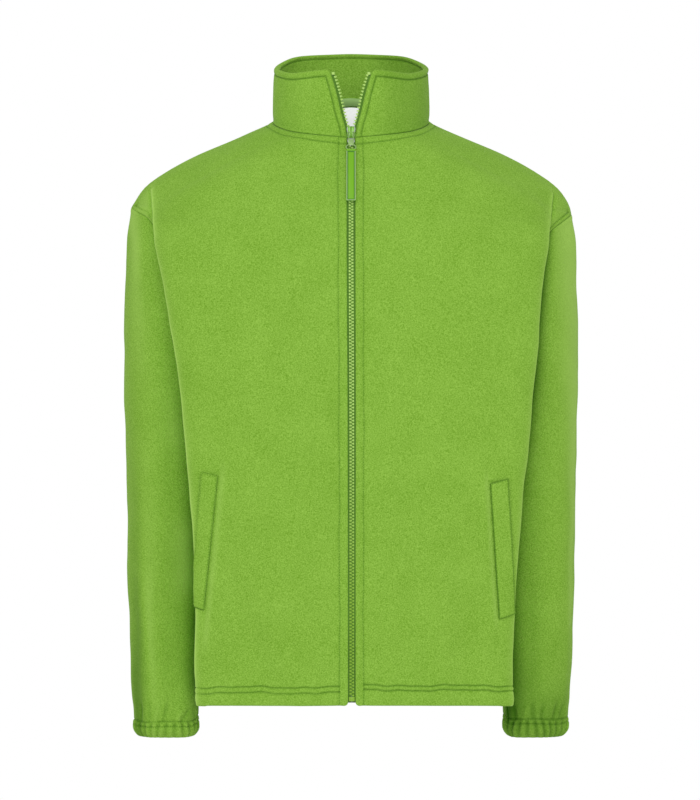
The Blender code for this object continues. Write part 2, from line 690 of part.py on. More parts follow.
def build_cloth():
    """All the large pieces; seam points share one normal, so walls meet evenly."""
    fronts = {side: front_grid(side) for side in SIGN}
    back = back_grid()
    sleeves = {side: np.array([place(ring, side) for ring in sleeve_rows()]) for side in SIGN}
    cuffs = cuff_rows()
    neck, neck_keys = neck_columns(fronts, back)
    collar = collar_grid(neck, rim_columns())

    flip = {"left": 1.0, "right": -1.0}
    normals = {side: grid_normals(fronts[side]) * flip[side] for side in SIGN}
    back_normals = -grid_normals(back)
    sleeve_normals = {side: grid_normals(sleeves[side], closed=True) * flip[side] for side in SIGN}
    collar_normals = -grid_normals(collar)

    seams = Seams()
    front_keys, back_keys = row_keys(ARM_FRONT_LINE), row_keys(ARM_BACK_LINE)
    for side in SIGN:
        for i, key in enumerate(front_keys):
            seams.add((side,) + key, normals[side][i, -1])
        edge = -1 if side == "left" else 0
        for i, key in enumerate(back_keys):
            seams.add((side,) + key, back_normals[i, edge])
        for j, key in enumerate(sleeve_keys()):
            share = 2.0 if key[0] in ("armpit", "shoulder") else 1.0
            seams.add((side,) + key, sleeve_normals[side][0, j] * share)
        for j in range(fronts[side].shape[1] - 1):
            seams.add(("neck", side, j), normals[side][-1, j])
    cols = back.shape[1]
    for j in range(1, cols - 1):
        seams.add(("neck", "back", j), back_normals[-1, j])
    for j, key in enumerate(neck_keys):
        seams.add(neck_name(key, cols), collar_normals[0, j])

    for side in SIGN:
        keys = [(side,) + key for key in front_keys]
        panel(f"front_{side}", fronts[side], normals[side], keys, None, seams,
              [("neck", side, j) for j in range(fronts[side].shape[1] - 1)])
        sleeve(side, sleeves[side], sleeve_normals[side], cuffs, seams)
    panel("back", back, back_normals, [("left",) + key for key in back_keys],
          [("right",) + key for key in back_keys], seams,
          [neck_name(("neck", "back", j), cols) for j in range(cols)])
    inner = stand_collar(collar, collar_normals, [neck_name(k, cols) for k in neck_keys], seams)
    return fronts, back, inner


def neck_name(key, cols):
    """The two ends of the back neck are the shared neck side points."""
    if key[1] == "back" and key[2] == 0:
        return ("right", "neck_side", 0)
    if key[1] == "back" and key[2] == cols - 1:
        return ("left", "neck_side", 0)
    return key


def sleeve_keys():
    """Names of the shared seam points round the first ring of a sleeve."""
    down = [("arm_front", k) for k in range(ARM_STEPS - 1, 0, -1)]
    up = [("arm_back", k) for k in range(1, ARM_STEPS)]
    return [("shoulder", 0)] + down + [("armpit", 0)] + up


def panel(name, grid, normals, last_keys, first_keys, seams, neck_keys):
    """A body panel: seam edges share normals, hem is doubled."""
    rows, cols = grid.shape[:2]
    offset = np.zeros_like(grid)
    outer = grid.copy()
    for i in range(rows):
        hem = i < len(SIDE_ROWS) and SIDE_ROWS[i] * (ARMPIT[2] - HEM_Z) < HEM_DEPTH + 1
        for j in range(cols):
            near_zip = first_keys is None and j < 2
            wall = HEM_WALL if hem and not near_zip else WALL
            key = None
            if j == cols - 1:
                key = last_keys[i]
            elif j == 0 and first_keys:
                key = first_keys[i]
            elif i == rows - 1 and j < len(neck_keys):
                key = neck_keys[j]
            if key is None:
                offset[i, j] = normals[i, j] * wall
                continue
            shared = seams.normal(key)
            offset[i, j] = mitre(shared, normals[i, j]) * wall
            outer[i, j] += panel_shift(grid, i, j, normals[i, j], shared, first_keys)
    grid_shell(name, outer, outer - offset, FLEECE)


def panel_shift(grid, i, j, own, shared, first_keys):
    """Seam shift of a panel point; a corner moves away from both seams."""
    rows, cols = grid.shape[:2]
    shift = np.zeros(3)
    if j == cols - 1 or (j == 0 and first_keys is not None):
        beside = grid[i, j - 1] if j == cols - 1 else grid[i, 1]
        tangent = grid[min(i + 1, rows - 1), j] - grid[max(i - 1, 0), j]
        shift = shift + border_shift(grid[i, j], beside, own, shared, tangent)
    if i == rows - 1:
        tangent = grid[i, min(j + 1, cols - 1)] - grid[i, max(j - 1, 0)]
        shift = shift + border_shift(grid[i, j], grid[i - 1, j], own, shared, tangent)
    return shift


def sleeve(side, rings, normals, cuffs, seams):
    """Sleeve wall from the armhole to its gathered end and back up inside."""
    keys = [(side,) + key for key in sleeve_keys()]
    count = rings.shape[1]
    outer = [ring.copy() for ring in rings]
    inner = [ring - n * WALL for ring, n in zip(rings, normals)]
    for j, key in enumerate(keys):
        shared = seams.normal(key)
        tangent = rings[0, (j + 1) % count] - rings[0, (j - 1) % count]
        shift = border_shift(rings[0, j], rings[2, j], normals[0, j], shared, tangent,
                             SLEEVE_GAP)
        outer[0][j] = rings[0, j] + shift
        inner[0][j] = outer[0][j] - mitre(shared, normals[0, j]) * WALL
    end_outer = [place(ring, side) for ring in cuffs[0]]
    end_inner = [place(ring, side) for ring in cuffs[1]]
    ring_loft(f"sleeve_{side}", outer + end_outer + end_inner[::-1] + inner[::-1], FLEECE)


def stand_collar(grid, normals, keys, seams):
    """Folded collar; returns its inner face, rows from seam to rim."""
    profile = collar_profile()
    ups = list(COLLAR["up"]) + [1.0]
    cols = grid.shape[1]
    shifts, mitres = [], []
    for j, key in enumerate(keys):
        shared = seams.normal(key)
        lo, hi = max(j - 1, 0), min(j + 1, cols - 1)
        shifts.append(border_shift(grid[0, j], grid[1, j], normals[0, j], shared,
                                   grid[0, hi] - grid[0, lo], COLLAR_GAP))
        mitres.append(mitre(shared, normals[0, j]))
    lines = []
    for up, depth in profile:
        line = []
        for j in range(cols):
            if up == 0.0:
                line.append(grid[0, j] + shifts[j] - mitres[j] * depth)
                continue
            k = min(int(np.searchsorted(ups, up)), len(ups) - 1)
            t = (up - ups[k - 1]) / (ups[k] - ups[k - 1])
            p = grid[k - 1, j] * (1 - t) + grid[k, j] * t
            n = unit(normals[k - 1, j] * (1 - t) + normals[k, j] * t)
            line.append(p - n * depth)
        lines.append(line)
    points, faces = [], []
    for line in lines:
        points.extend(line)
    rows = len(lines)
    for i in range(rows):
        m = (i + 1) % rows
        for j in range(cols - 1):
            faces.append([i * cols + j, i * cols + j + 1, m * cols + j + 1, m * cols + j])
    outer_rows = len(COLLAR["up"])
    for j in (0, cols - 1):
        for i in range(outer_rows):
            a, b = i, rows - 1 - i
            faces.append([a * cols + j, (a + 1) * cols + j, (b - 1) * cols + j, b * cols + j])
        i = outer_rows
        faces.append([i * cols + j, (i + 1) * cols + j, (i + 2) * cols + j])
    new_object("collar", points, faces, FLEECE)
    inner = np.array([lines[rows - 1 - i] for i in range(outer_rows)])
    return inner


# ---------------------------------------------------------------- small cloth
def neck_trim(fronts, back, inner):
    """Tape over the back neck seam and the blank label hung under it."""
    first = fronts["right"].shape[1] - 1
    cols = back.shape[1]
    low, high = inner[0, first:first + cols], inner[1, first:first + cols]
    face, rear = [], []
    for row in (low, high):
        line_face, line_rear = [], []
        for j, p in enumerate(row):
            lo, hi = max(j - 1, 0), min(j + 1, cols - 1)
            n = unit(np.cross(row[hi] - row[lo], high[j] - low[j]))
            line_face.append(p + n * 0.4)
            line_rear.append(p + n * 1.2)
        face.append(line_face[1:-1])
        rear.append(line_rear[1:-1])
    grid_shell("neck_tape", np.array(rear), np.array(face), TAPE_GREEN)

    rows_front, rows_back = [], []
    neck = low[1:-1]
    for drop, lean in ((0.25, 0.2), (14.0, 0.6), (30.0, 2.0), (47.0, 4.2)):
        front_line, back_line = [], []
        for x in np.linspace(-LABEL_HALF, LABEL_HALF, 9):
            y = float(np.interp(x, neck[:, 0], neck[:, 1]))
            z = float(np.interp(x, neck[:, 0], neck[:, 2]))
            p = np.array([x, y - 1.3 + lean, z - drop])
            front_line.append(p)
            back_line.append(p + np.array([0, 0.8, 0]))
        rows_front.append(front_line)
        rows_back.append(back_line)
    grid_shell("neck_label", np.array(rows_front), np.array(rows_back), LABEL_WHITE)


def front_spot(side, z, x_inner, along):
    """Outer point of a front level with z, a given way round from x_inner."""
    at = (z - HEM_Z) / (ARMPIT[2] - HEM_Z)
    edge = np.array([smooth(SIDE_SEAM["z"], SIDE_SEAM["x"], z),
                     smooth(SIDE_SEAM["z"], SIDE_SEAM["y"], z), z])
    fine = np.linspace(0, 1, 160)
    curve = np.array(front_level(side, at, edge, fine, fine[1:]))
    run = np.concatenate([[0], np.cumsum(np.linalg.norm(np.diff(curve, axis=0), axis=1))])
    first = int(np.argmax(curve[:, 0] > x_inner))
    s = run[first] + along
    return np.array([np.interp(s, run, curve[:, a]) for a in range(3)])


def pocket_welt(side, top_x, top_z, low_x, low_z, width, tilt):
    """Welt whose points are those of the front, moved out."""
    rows = []
    for t in np.linspace(0, 1, 10):
        line = []
        for s in np.linspace(0, 1, 6):
            z = top_z + (low_z - top_z) * t + tilt * (s - 0.5)
            line.append(front_spot(side, z, top_x + (low_x - top_x) * t, width * s))
        rows.append(line)
    grid = np.array(rows)
    normals = -grid_normals(grid)
    normals *= np.sign(-normals[:, :1, 1:2])
    under = grid + normals * (SEAM_GAP + 0.4)
    face = under + normals * WELT_THICK
    grid_shell(f"pocket_welt_{side}", place(face, side), place(under, side), FLEECE)


# ---------------------------------------------------------------- zip
def centre_line(z):
    """Outer y of the fleece beside the zip, and the unit vector into the body."""
    def y_at(v):
        return smooth(FRONT["centre_z"], FRONT["centre_y"], v)
    slope = (y_at(z + 0.5) - y_at(z - 0.5)) if z < NECK_BASE else 0.0
    inward = unit(np.array([0, 1.0, -slope]))
    return y_at(z), inward


def chain_path(z_from, z_to, steps):
    """Middle of the zip behind the fleece, and its outward direction."""
    points, outward = [], []
    depth = WALL + SEAM_GAP + TAPE_THICK / 2 + 0.3
    for z in np.linspace(z_from, z_to, steps):
        y, inward = centre_line(z)
        points.append(np.array([0, y, z]) + inward * depth)
        outward.append(-inward)
    return points, outward


def zip_parts():
    """Closed chain, both tapes, the open teeth of the collar and the bottom box."""
    body, body_out = chain_path(-674.5, -21.5, 22)
    top = [np.array([0, SLIDER_Y, z]) for z in (-15.0, -9.7)]
    level = np.array([0, -1.0, 0])
    mid, out = body + top, body_out + [level, level]
    mid[0][2] = max(mid[0][2], BOX_TOP + 0.5)
    near = [p - np.array([ZIP_HALF, 0, 0]) for p in mid]
    far = [p + np.array([ZIP_HALF, 0, 0]) for p in mid]
    ribbon("zip_chain", near, far, out, CHAIN_THICK, ZIP_GREEN, roughness=0.5)

    for side in SIGN:
        near, far, outs = [], [], []
        for p, n in zip(body, body_out):
            near.append(place(p + np.array([ZIP_HALF + SEAM_GAP, 0, 0]), side))
            far.append(place(p + np.array([TAPE_EDGE, 0, 0]), side))
            outs.append(n)
        for z, tape_near, tape_far in collar_tape():
            y = collar_middle(z)
            near.append(place(np.array([tape_near, y, z]), side))
            far.append(place(np.array([tape_far, y, z]), side))
            outs.append(level)
        ribbon(f"zip_tape_{side}", near, far, outs, TAPE_THICK, TAPE_GREEN)
        near, far, outs = [], [], []
        for z in TEETH_LEVELS:
            edge = collar_edge(z)
            near.append(place(np.array([edge - 5.1, collar_middle(z), z]), side))
            far.append(place(np.array([edge - 1.9, collar_middle(z), z]), side))
            outs.append(level)
        ribbon(f"zip_teeth_{side}", near, far, outs, CHAIN_THICK, ZIP_GREEN, roughness=0.5)

    y_box = body[0][1]
    blocks("zip_box", [(-3.5, 3.5, y_box - 2.0, y_box + 2.0, HEM_Z + 5.5, BOX_TOP)], ZIP_GREEN,
           roughness=0.4)


def collar_up(z):
    """Share of the way up the collar front at a height."""
    return (z + 18.0) / (RIM_FRONT[2] + 18.0)


def collar_edge(z):
    """Distance from the middle to the fleece edge of the collar opening."""
    ups = list(COLLAR["up"]) + [1.0]
    edges = list(COLLAR["edge"]) + [RIM_FRONT[0]]
    return float(np.interp(collar_up(z), ups, edges))


def collar_middle(z):
    """Middle of the collar's thickness beside the opening."""
    outer = -80.0 + (RIM_FRONT[1] + 80.0) * collar_up(z)
    return outer + COLLAR_WALL / 2


def collar_tape():
    """Narrow strip of tape that shows beside the collar edges."""
    rows = [(-20.2, ZIP_HALF + SEAM_GAP, ZIP_EDGE - SEAM_GAP)]
    for z in (-14.0, -8.4, -3.0, 8.0, 22.0, 36.0, 48.0, 58.0):
        edge = collar_edge(z)
        rows.append((z, max(ZIP_HALF + SEAM_GAP, edge - 1.5) if z < -5 else edge - 1.5,
                     edge - SEAM_GAP - 0.1))
    return rows


def slider_and_pull():
    """Fixed slider with its bridge; the puller and tab hang from the bridge."""
    front = SLIDER_Y - PLATE_GAP / 2
    rear = SLIDER_Y + PLATE_GAP / 2
    low = SLIDER_TOP - SLIDER_TALL
    crest = HINGE_Y - 2.2
    blocks("zip_slider", [
        (-SLIDER_HALF, SLIDER_HALF, front - PLATE, front, low, SLIDER_TOP),
        (-SLIDER_HALF, SLIDER_HALF, rear, rear + PLATE, low, SLIDER_TOP),
        (-1.1, 1.1, front - PLATE, rear + PLATE, SLIDER_TOP - 3.9, SLIDER_TOP),
        (-1.1, 1.1, crest, front, SLIDER_TOP - 2.2, SLIDER_TOP - 1.0),
        (-1.1, 1.1, crest, front, low + 1.0, low + 2.2),
        (-1.1, 1.1, crest, crest + 0.9, low + 1.0, SLIDER_TOP - 1.0),
    ], METAL, roughness=0.35, metallic=1.0)

    tilt = math.radians(PULL_TILT)

    def hang(p):
        y, z = p[1], p[2]
        return np.array([p[0], HINGE_Y + y * math.cos(tilt) + z * math.sin(tilt),
                         HINGE_Z - y * math.sin(tilt) + z * math.cos(tilt)])

    blocks("zip_pull", [
        (-4.3, 4.3, -0.6, 0.6, -0.6, 0.6),
        (-4.3, -2.7, -0.6, 0.6, -10.6, 0.6),
        (2.7, 4.3, -0.6, 0.6, -10.6, 0.6),
        (-4.6, 4.6, -0.6, 0.6, -16.9, -10.6),
        (-6.4, 6.4, -0.45, 0.45, -18.0, -16.9),
        (-6.4, -5.5, -0.45, 0.45, -24.4, -16.9),
        (5.5, 6.4, -0.45, 0.45, -24.4, -16.9),
        (-6.4, 6.4, -0.45, 0.45, -24.4, -23.5),
    ], METAL, turn=hang, roughness=0.3, metallic=1.0)
    bar = -23.95
    blocks("zip_tab", [
        (-TAB_HALF, TAB_HALF, -1.55, 1.55, bar + 0.75, bar + 1.5),
        (-TAB_HALF, TAB_HALF, -1.55, -0.75, bar - 2.2, bar + 1.5),
        (-TAB_HALF, TAB_HALF, 0.75, 1.55, bar - 2.2, bar + 1.5),
        (-TAB_HALF, TAB_HALF, -1.55, 1.55, bar - 2.2, bar - 0.75),
        (-TAB_HALF, TAB_HALF, -0.8, 0.8, bar - TAB_LONG, bar - 0.75),
    ], FLEECE_SHADE, turn=hang, roughness=0.4)


for old in list(bpy.data.objects):
    bpy.data.objects.remove(old, do_unlink=True)
JACKET = bpy.data.collections.new("fleece_jacket")
bpy.context.scene.collection.children.link(JACKET)

FRONT_GRIDS, BACK_GRID, COLLAR_INNER = build_cloth()
neck_trim(FRONT_GRIDS, BACK_GRID, COLLAR_INNER)
for row in WELTS:
    pocket_welt(*row)
zip_parts()
slider_and_pull()
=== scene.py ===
import math

import bpy
import numpy as np
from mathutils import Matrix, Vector, noise


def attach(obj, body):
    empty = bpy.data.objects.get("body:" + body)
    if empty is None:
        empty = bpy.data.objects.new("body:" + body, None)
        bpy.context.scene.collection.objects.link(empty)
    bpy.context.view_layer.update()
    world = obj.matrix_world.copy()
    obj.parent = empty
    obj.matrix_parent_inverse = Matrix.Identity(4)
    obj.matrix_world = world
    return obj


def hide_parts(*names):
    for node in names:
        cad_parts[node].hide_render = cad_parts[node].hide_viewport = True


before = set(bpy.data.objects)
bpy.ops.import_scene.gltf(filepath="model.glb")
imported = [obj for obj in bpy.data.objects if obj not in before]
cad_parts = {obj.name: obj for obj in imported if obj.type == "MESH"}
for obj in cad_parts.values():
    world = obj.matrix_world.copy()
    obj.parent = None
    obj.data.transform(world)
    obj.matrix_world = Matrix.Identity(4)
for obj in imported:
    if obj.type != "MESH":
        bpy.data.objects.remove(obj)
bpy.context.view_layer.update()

scene = bpy.context.scene
bpy.ops.object.select_all(action="DESELECT")
print("frame loaded")

# Everything about the cloth is worked out in millimetres and made in metres.
# +X is the wearer's left, -Y the front, +Z up.
mm = 0.001
sign = {"left": 1.0, "right": -1.0}
mirror = {side: np.array([way, 1, 1]) for side, way in sign.items()}
hemZ, sleeveEndZ = -681, -731
halfRing = 14                          # places round a sleeve from the shoulder to the armpit
lineSteps = 80                         # points of a dense line up to its fold


def columns(names, rows):              # a table's columns by name
    return {name: np.array([row[k] for row in rows], float) for k, name in enumerate(names.split())}


# Body levels: at is 0 at the hem, 1 armpit, 2 shoulder point, 3 side of the neck.
frontForm = columns(
    "at centreY centreZ foldRight foldLeft foldY foldZ foldTurn edgeTurn foldPull edgePull", (
        (0.00, -118, -681, 181.3, 188.6, -90, -681, 90, 92, 0.22, 0.50),
        (0.10, -120, -648, 183.0, 188.6, -91, -648, 90, 92, 0.22, 0.50),
        (0.33, -124, -569, 182.6, 190.9, -94, -569, 90, 92, 0.20, 0.52),
        (0.55, -127, -494, 183.5, 196.0, -96, -494, 90, 92, 0.18, 0.56),
        (0.75, -130, -426, 188.2, 200.9, -98, -426, 90, 93, 0.16, 0.60),
        (0.88, -131, -381, 192.3, 206.0, -99, -381, 90, 94, 0.16, 0.62),
        (1.00, -132, -340, 197.0, 209.8, -99, -340, 90, 96, 0.16, 0.62),
        (1.20, -133, -286, 203.0, 215.2, -99, -286, 90, 98, 0.20, 0.56),
        (1.40, -132, -235, 210.8, 219.6, -97, -235, 90, 100, 0.24, 0.50),
        (1.56, -130, -185, 220.3, 224.8, -92, -183, 90, 98, 0.28, 0.44),
        (1.635, -128, -162, 225.8, 228.3, -87, -161, 88, 94, 0.30, 0.42),
        (1.705, -125, -146, 229.6, 231.4, -79, -144, 86, 88, 0.32, 0.40),
        (1.77, -122, -134, 232.0, 234.0, -70, -129, 80, 78, 0.34, 0.38),
        (1.83, -119, -124, 233.8, 235.0, -61, -115, 70, 64, 0.34, 0.36),
        (1.885, -117, -117, 231.0, 232.0, -54, -106, 62, 58, 0.34, 0.36),
        (1.94, -115, -110, 226.0, 227.0, -54, -99, 54, 60, 0.34, 0.36),
        (2.00, -113, -104, 220.0, 221.0, -54, -93, 50, 70, 0.34, 0.36),
        (2.25, -104, -82, 199.0, 199.0, -53, -76, 54, 80, 0.34, 0.36),
        (2.50, -96, -62, 165.0, 165.0, -53, -57, 56, 84, 0.34, 0.36),
        (2.75, -88, -40, 121.0, 121.0, -54, -34, 54, 86, 0.34, 0.36),
        (3.00, -80, -18, 73.0, 73.0, -53, -8, 50, 84, 0.34, 0.36),
    ))
backForm = columns(
    "at centreY centreZ foldX foldY foldZ foldTurn edgeTurn", (
        (0.00, 112, -681, 160, 62, -681, 82, 90),
        (0.33, 114, -569, 162, 64, -569, 84, 90),
        (0.66, 120, -456, 164, 66, -456, 84, 90),
        (0.88, 126, -381, 162, 68, -381, 82, 92),
        (1.00, 129, -340, 163, 72, -340, 76, 94),
        (1.20, 132, -292, 168, 92, -292, 60, 72),
        (1.40, 133, -238, 170, 104, -238, 44, 50),
        (1.60, 131, -186, 176, 106, -186, 40, 42),
        (1.80, 124, -132, 196, 94, -134, 44, 50),
        (2.00, 116, -92, 226, 60, -98, 54, 74),
        (2.25, 108, -62, 206, 58, -74, 58, 78),
        (2.50, 98, -32, 166, 60, -46, 56, 82),
        (2.75, 86, 2, 120, 58, -14, 52, 84),
        (3.00, 75, 33, 72, 50, 24, 46, 82),
    ))
sleeveForm = columns(
    "along outerX outerZ innerX innerZ middleY depth", (
        (0.00, 263.5, -93.6, 166, -340, 19, 72),
        (0.06, 270.5, -134, 178, -344, 22, 72),
        (0.13, 272.5, -184, 182, -353, 24, 72),
        (0.21, 274.0, -240, 181, -365, 26, 72),
        (0.30, 274.0, -300, 180, -384, 28, 71),
        (0.40, 272.7, -362, 180, -412, 29, 69),
        (0.51, 271.5, -430, 180, -452, 29, 65),
        (0.63, 270.3, -505, 181, -510, 27, 59),
        (0.75, 268.6, -578, 182, -578, 24, 52),
        (0.86, 266.0, -640, 183, -640, 20, 44),
        (0.94, 264.0, -685, 183, -685, 18, 38),
        (0.965, 262.6, -698, 183, -698, 18, 36.5),
        (1.00, 261.6, -731, 183, -731, 18, 34),
    ))
collarForm = columns("up edge swell", (
    (0.00, 5.0, 0.0), (0.12, 6.4, 0.5), (0.35, 11.4, 1.0), (0.60, 15.8, 1.1), (0.78, 19.6, 0.8),
    (0.90, 22.6, 0.4), (1.00, 24.6, 0.0)))
gatherForm = columns("z gather wall", (
    (-731, 0.8, 3.4), (-728.5, 1.3, 4.4), (-719, 1.7, 4.4), (-715.5, 1.9, 4.2), (-711, 1.6, 2.7),
    (-704, 0.8, 2.5), (-690, 0.35, 2.5), (-660, 0.0, 2.5)))
sideSeam = columns("z x y", (
    (-681, 158, 15), (-600, 159, 15), (-500, 159, 15), (-400, 160, 15), (-340, 166, 16)))
shoulderTip = {"right": (263.5, 5, -93.6), "left": (265, 5, -103)}
armpit, neckSide = (166, 16, -340), (94, 0, 6)
seamPoints = {                         # the wearer's left sleeve is set a little lower
    "right": {
        "armFront": ((171, -14, -318), (182, -38, -270), (198, -52, -195), (217, -51, -146),
                     (240.5, -41, -111.2), (252.8, -27.5, -103.2), (261.8, -11, -96.8)),
        "armBack": ((171, 46, -322), (182, 78, -270), (196, 91, -205), (219, 82, -150),
                    (241, 58, -116), (256, 31, -99)),
        "top": ((248, 5, -71), (222, 4, -52), (185, 3, -32), (142, 2, -14))},
    "left": {
        "armFront": ((171, -14, -318), (182, -38, -270), (198, -52, -198), (217, -51, -155),
                     (237.5, -42, -126), (251, -28.5, -115), (262.6, -12, -106)),
        "armBack": ((171, 46, -322), (182, 78, -270), (196, 91, -205), (219, 82, -153),
                    (242, 58, -123), (257.5, 31, -108)),
        "top": ((261.6, 5, -90.5), (248, 5, -71), (222, 4, -52), (185, 3, -32), (142, 2, -14))},
}
armRows = (0.0, 0.07, 0.15, 0.235, 0.32, 0.4, 0.48, 0.56, 0.635, 0.705, 0.77, 0.83, 0.885,
           0.94, 1.0)
body = {"wall": 2.5, "hemWall": 4.5, "hemDepth": 27.0, "zipEdge": 5.4, "bodyLong": 341.0,
        "seamGap": 0.06, "neckGap": -0.3, "hemDip": 6.5, "closer": 0.4, "closerLow": 1.1, "drift": 0.9,
        "corner": 4.5}

# Soft folds: from (x0, z0) to (x1, z1), half width, height.
foldNames = "x0 z0 x1 z1 half height"
softFolds = {
    "right": columns(foldNames, (
        (118, -290, 112, -430, 26, 1.8), (76, -280, 66, -420, 24, -2.2),
        (36, -330, 30, -500, 20, 1.4), (128, -560, 104, -640, 20, -2.4),
        (96, -580, 62, -676, 22, 2.0))),
    "left": columns(foldNames, (
        (120, -250, 128, -420, 30, 1.4), (60, -430, 66, -640, 24, -1.6),
        (104, -480, 98, -660, 22, 1.6), (140, -590, 132, -676, 16, -1.4))),
    "back": columns(foldNames, (
        (-95, -230, -78, -640, 30, -3.0), (88, -240, 80, -640, 30, -2.6),
        (4, -300, 0, -660, 34, 2.2))),
}


def ramp(value, start, reach):         # 0 up to the start, 1 from a reach beyond it
    return np.clip((value - start) / reach, 0, 1)


def fall(value, end, reach):           # 1 up to a reach before the end, 0 past it
    return np.clip((end - value) / reach, 0, 1)


def smooth(share):
    return share * share * (3 - 2 * share)


def hump(distance, at, half=1.0):      # a soft rise, or a tone along a line
    return np.exp(-((distance - at) / half) ** 2)


def groove(distance, at, half, depth):     # a sewn row pulls the cloth in
    return -depth * hump(distance, at, half)


def hermite(a, b, slopeA, slopeB, t):
    return ((2 * t**3 - 3 * t**2 + 1) * a + (t**3 - 2 * t**2 + t) * slopeA
            + (3 * t**2 - 2 * t**3) * b + (t**3 - t**2) * slopeB)


def through(xs, ys, x):                # smooth curve through listed values, without overshoot
    step = np.diff(xs)
    rise = np.diff(ys) / step
    slope = np.concatenate([rise[:1], np.zeros(len(xs) - 2), rise[-1:]])
    both = rise[:-1] * rise[1:]
    same = both > 0
    slope[1:-1][same] = 2 * both[same] / (rise[:-1] + rise[1:])[same]
    x = np.asarray(x, float)
    k = np.clip(np.searchsorted(xs, x, side="right") - 1, 0, len(xs) - 2)
    t = (x - xs[k]) / step[k]
    return hermite(ys[k], ys[k + 1], slope[k] * step[k], slope[k + 1] * step[k], t)


def read(form, name, at):
    return through(form[next(iter(form))], form[name], at)


def readWithin(form, name, at):        # the end values hold beyond the ends
    first = form[next(iter(form))]
    return read(form, name, np.clip(at, first[0], first[-1]))


def runOf(line):                       # length run up to each point of a line
    return np.concatenate([[0], np.cumsum(np.linalg.norm(np.diff(line, axis=0), axis=1))])


def pointsAt(places, run, line):       # points of a line at given lengths along it
    return np.stack([np.interp(places, run, line[:, a]) for a in range(3)], axis=-1)


def curveThrough(points):              # a function from a share of its length to a point
    pts = np.array(points, float)
    knots = np.concatenate([[0], np.cumsum(np.sqrt(np.linalg.norm(np.diff(pts, axis=0), axis=1)))])
    last = len(pts) - 1
    hi = np.minimum(np.arange(last + 1) + 1, last)
    lo = np.maximum(np.arange(last + 1) - 1, 0)
    slope = (pts[hi] - pts[lo]) / (knots[hi] - knots[lo])[:, None]
    t = np.linspace(0, 1, 40, endpoint=False)[:, None]
    dense = []
    for k in range(last):
        step = knots[k + 1] - knots[k]
        dense.append(hermite(pts[k], pts[k + 1], slope[k] * step, slope[k + 1] * step, t))
    dense = np.concatenate(dense + [pts[-1:]])
    run = runOf(dense)
    return lambda share: pointsAt(np.asarray(share) * run[-1], run, dense)


def seamCurves(side):
    ends = {"armFront": (armpit, shoulderTip[side]), "armBack": (armpit, shoulderTip[side]),
            "top": (shoulderTip[side], neckSide)}
    return {name: curveThrough((ends[name][0],) + points + (ends[name][1],))
            for name, points in seamPoints[side].items()}


seams = {side: seamCurves(side) for side in sign}


def outerEdge(at, side, arm):          # side seam, armhole, then shoulder seam
    at = np.asarray(at, float)
    z = hemZ + np.clip(at, 0, 1) * body["bodyLong"]
    low = np.stack([read(sideSeam, "x", z), read(sideSeam, "y", z), z], axis=-1)
    edge = np.where((at > 1)[:, None], seams[side][arm](np.clip(at - 1, 0, 1)), low)
    return np.where((at > 2)[:, None], seams[side]["top"](np.clip(at - 2, 0, 1)), edge)


def heading(turn, face):               # 0 degrees runs outward, 90 away from the face
    a = np.radians(turn)
    return np.stack([np.cos(a), -face * np.sin(a), 0 * a], axis=-1)


def bezier(p0, p1, p2, p3, t):
    p0, p1, p2, p3 = (p[:, None, :] for p in (p0, p1, p2, p3))
    s = 1 - t
    return s**3 * p0 + 3 * s * s * t * p1 + 3 * s * t * t * p2 + t**3 * p3


def levelLines(start, fold, foldTurn, edge, edgeTurn, face, foldPull, edgePull):
    lift = np.array([0, 0, 1.0])
    reach = abs(fold[:, 1:2] - start[:, 1:2])
    rise = (fold[:, 2:] - start[:, 2:]) / 3
    climb = (edge[:, 2:] - fold[:, 2:]) / 3
    outward, level = heading(foldTurn, face), 0.58 * (fold[:, :1] - start[:, :1])
    a1 = start + np.concatenate([level, 0 * rise, rise], axis=1)
    a2 = fold - 0.58 * reach * outward - lift * rise
    chord = np.linalg.norm(edge - fold, axis=1, keepdims=True)
    b1 = fold + foldPull[:, None] * chord * outward + lift * climb
    b2 = edge - edgePull[:, None] * chord * heading(edgeTurn, face) - lift * climb
    t = np.linspace(0, 1, lineSteps)[None, :, None]
    return np.concatenate([bezier(start, a1, a2, fold, t), bezier(fold, b1, b2, edge, t)[:, 1:]], axis=1)


def foldHeight(folds, x, z):
    total = np.zeros_like(x)
    for x0, z0, x1, z1, half, height in zip(*folds.values()):
        along = (z - z0) / (z1 - z0)
        fade = np.clip(np.minimum((along + 0.6) / 0.6, (1.6 - along) / 0.6), 0, 1)
        total += height * fade * hump(x - x0, (x1 - x0) * along, half)
    return total


def frontLines(side, at):              # dense lines of a front, mirrored to the left
    at = np.asarray(at, float)
    start = np.stack([0 * at + body["zipEdge"], read(frontForm, "centreY", at),
                      read(frontForm, "centreZ", at)], axis=-1)
    fold = np.stack([read(frontForm, "fold" + side.capitalize(), at), read(frontForm, "foldY", at),
                     read(frontForm, "foldZ", at)], axis=-1)
    lines = levelLines(start, fold, read(frontForm, "foldTurn", at), outerEdge(at, side, "armFront"),
                       read(frontForm, "edgeTurn", at), -1, read(frontForm, "foldPull", at),
                       read(frontForm, "edgePull", at))
    facing = fall(lines[..., 1], -60, 25)
    lines[..., 1] -= foldHeight(softFolds[side], lines[..., 0], lines[..., 2]) * facing
    return lines


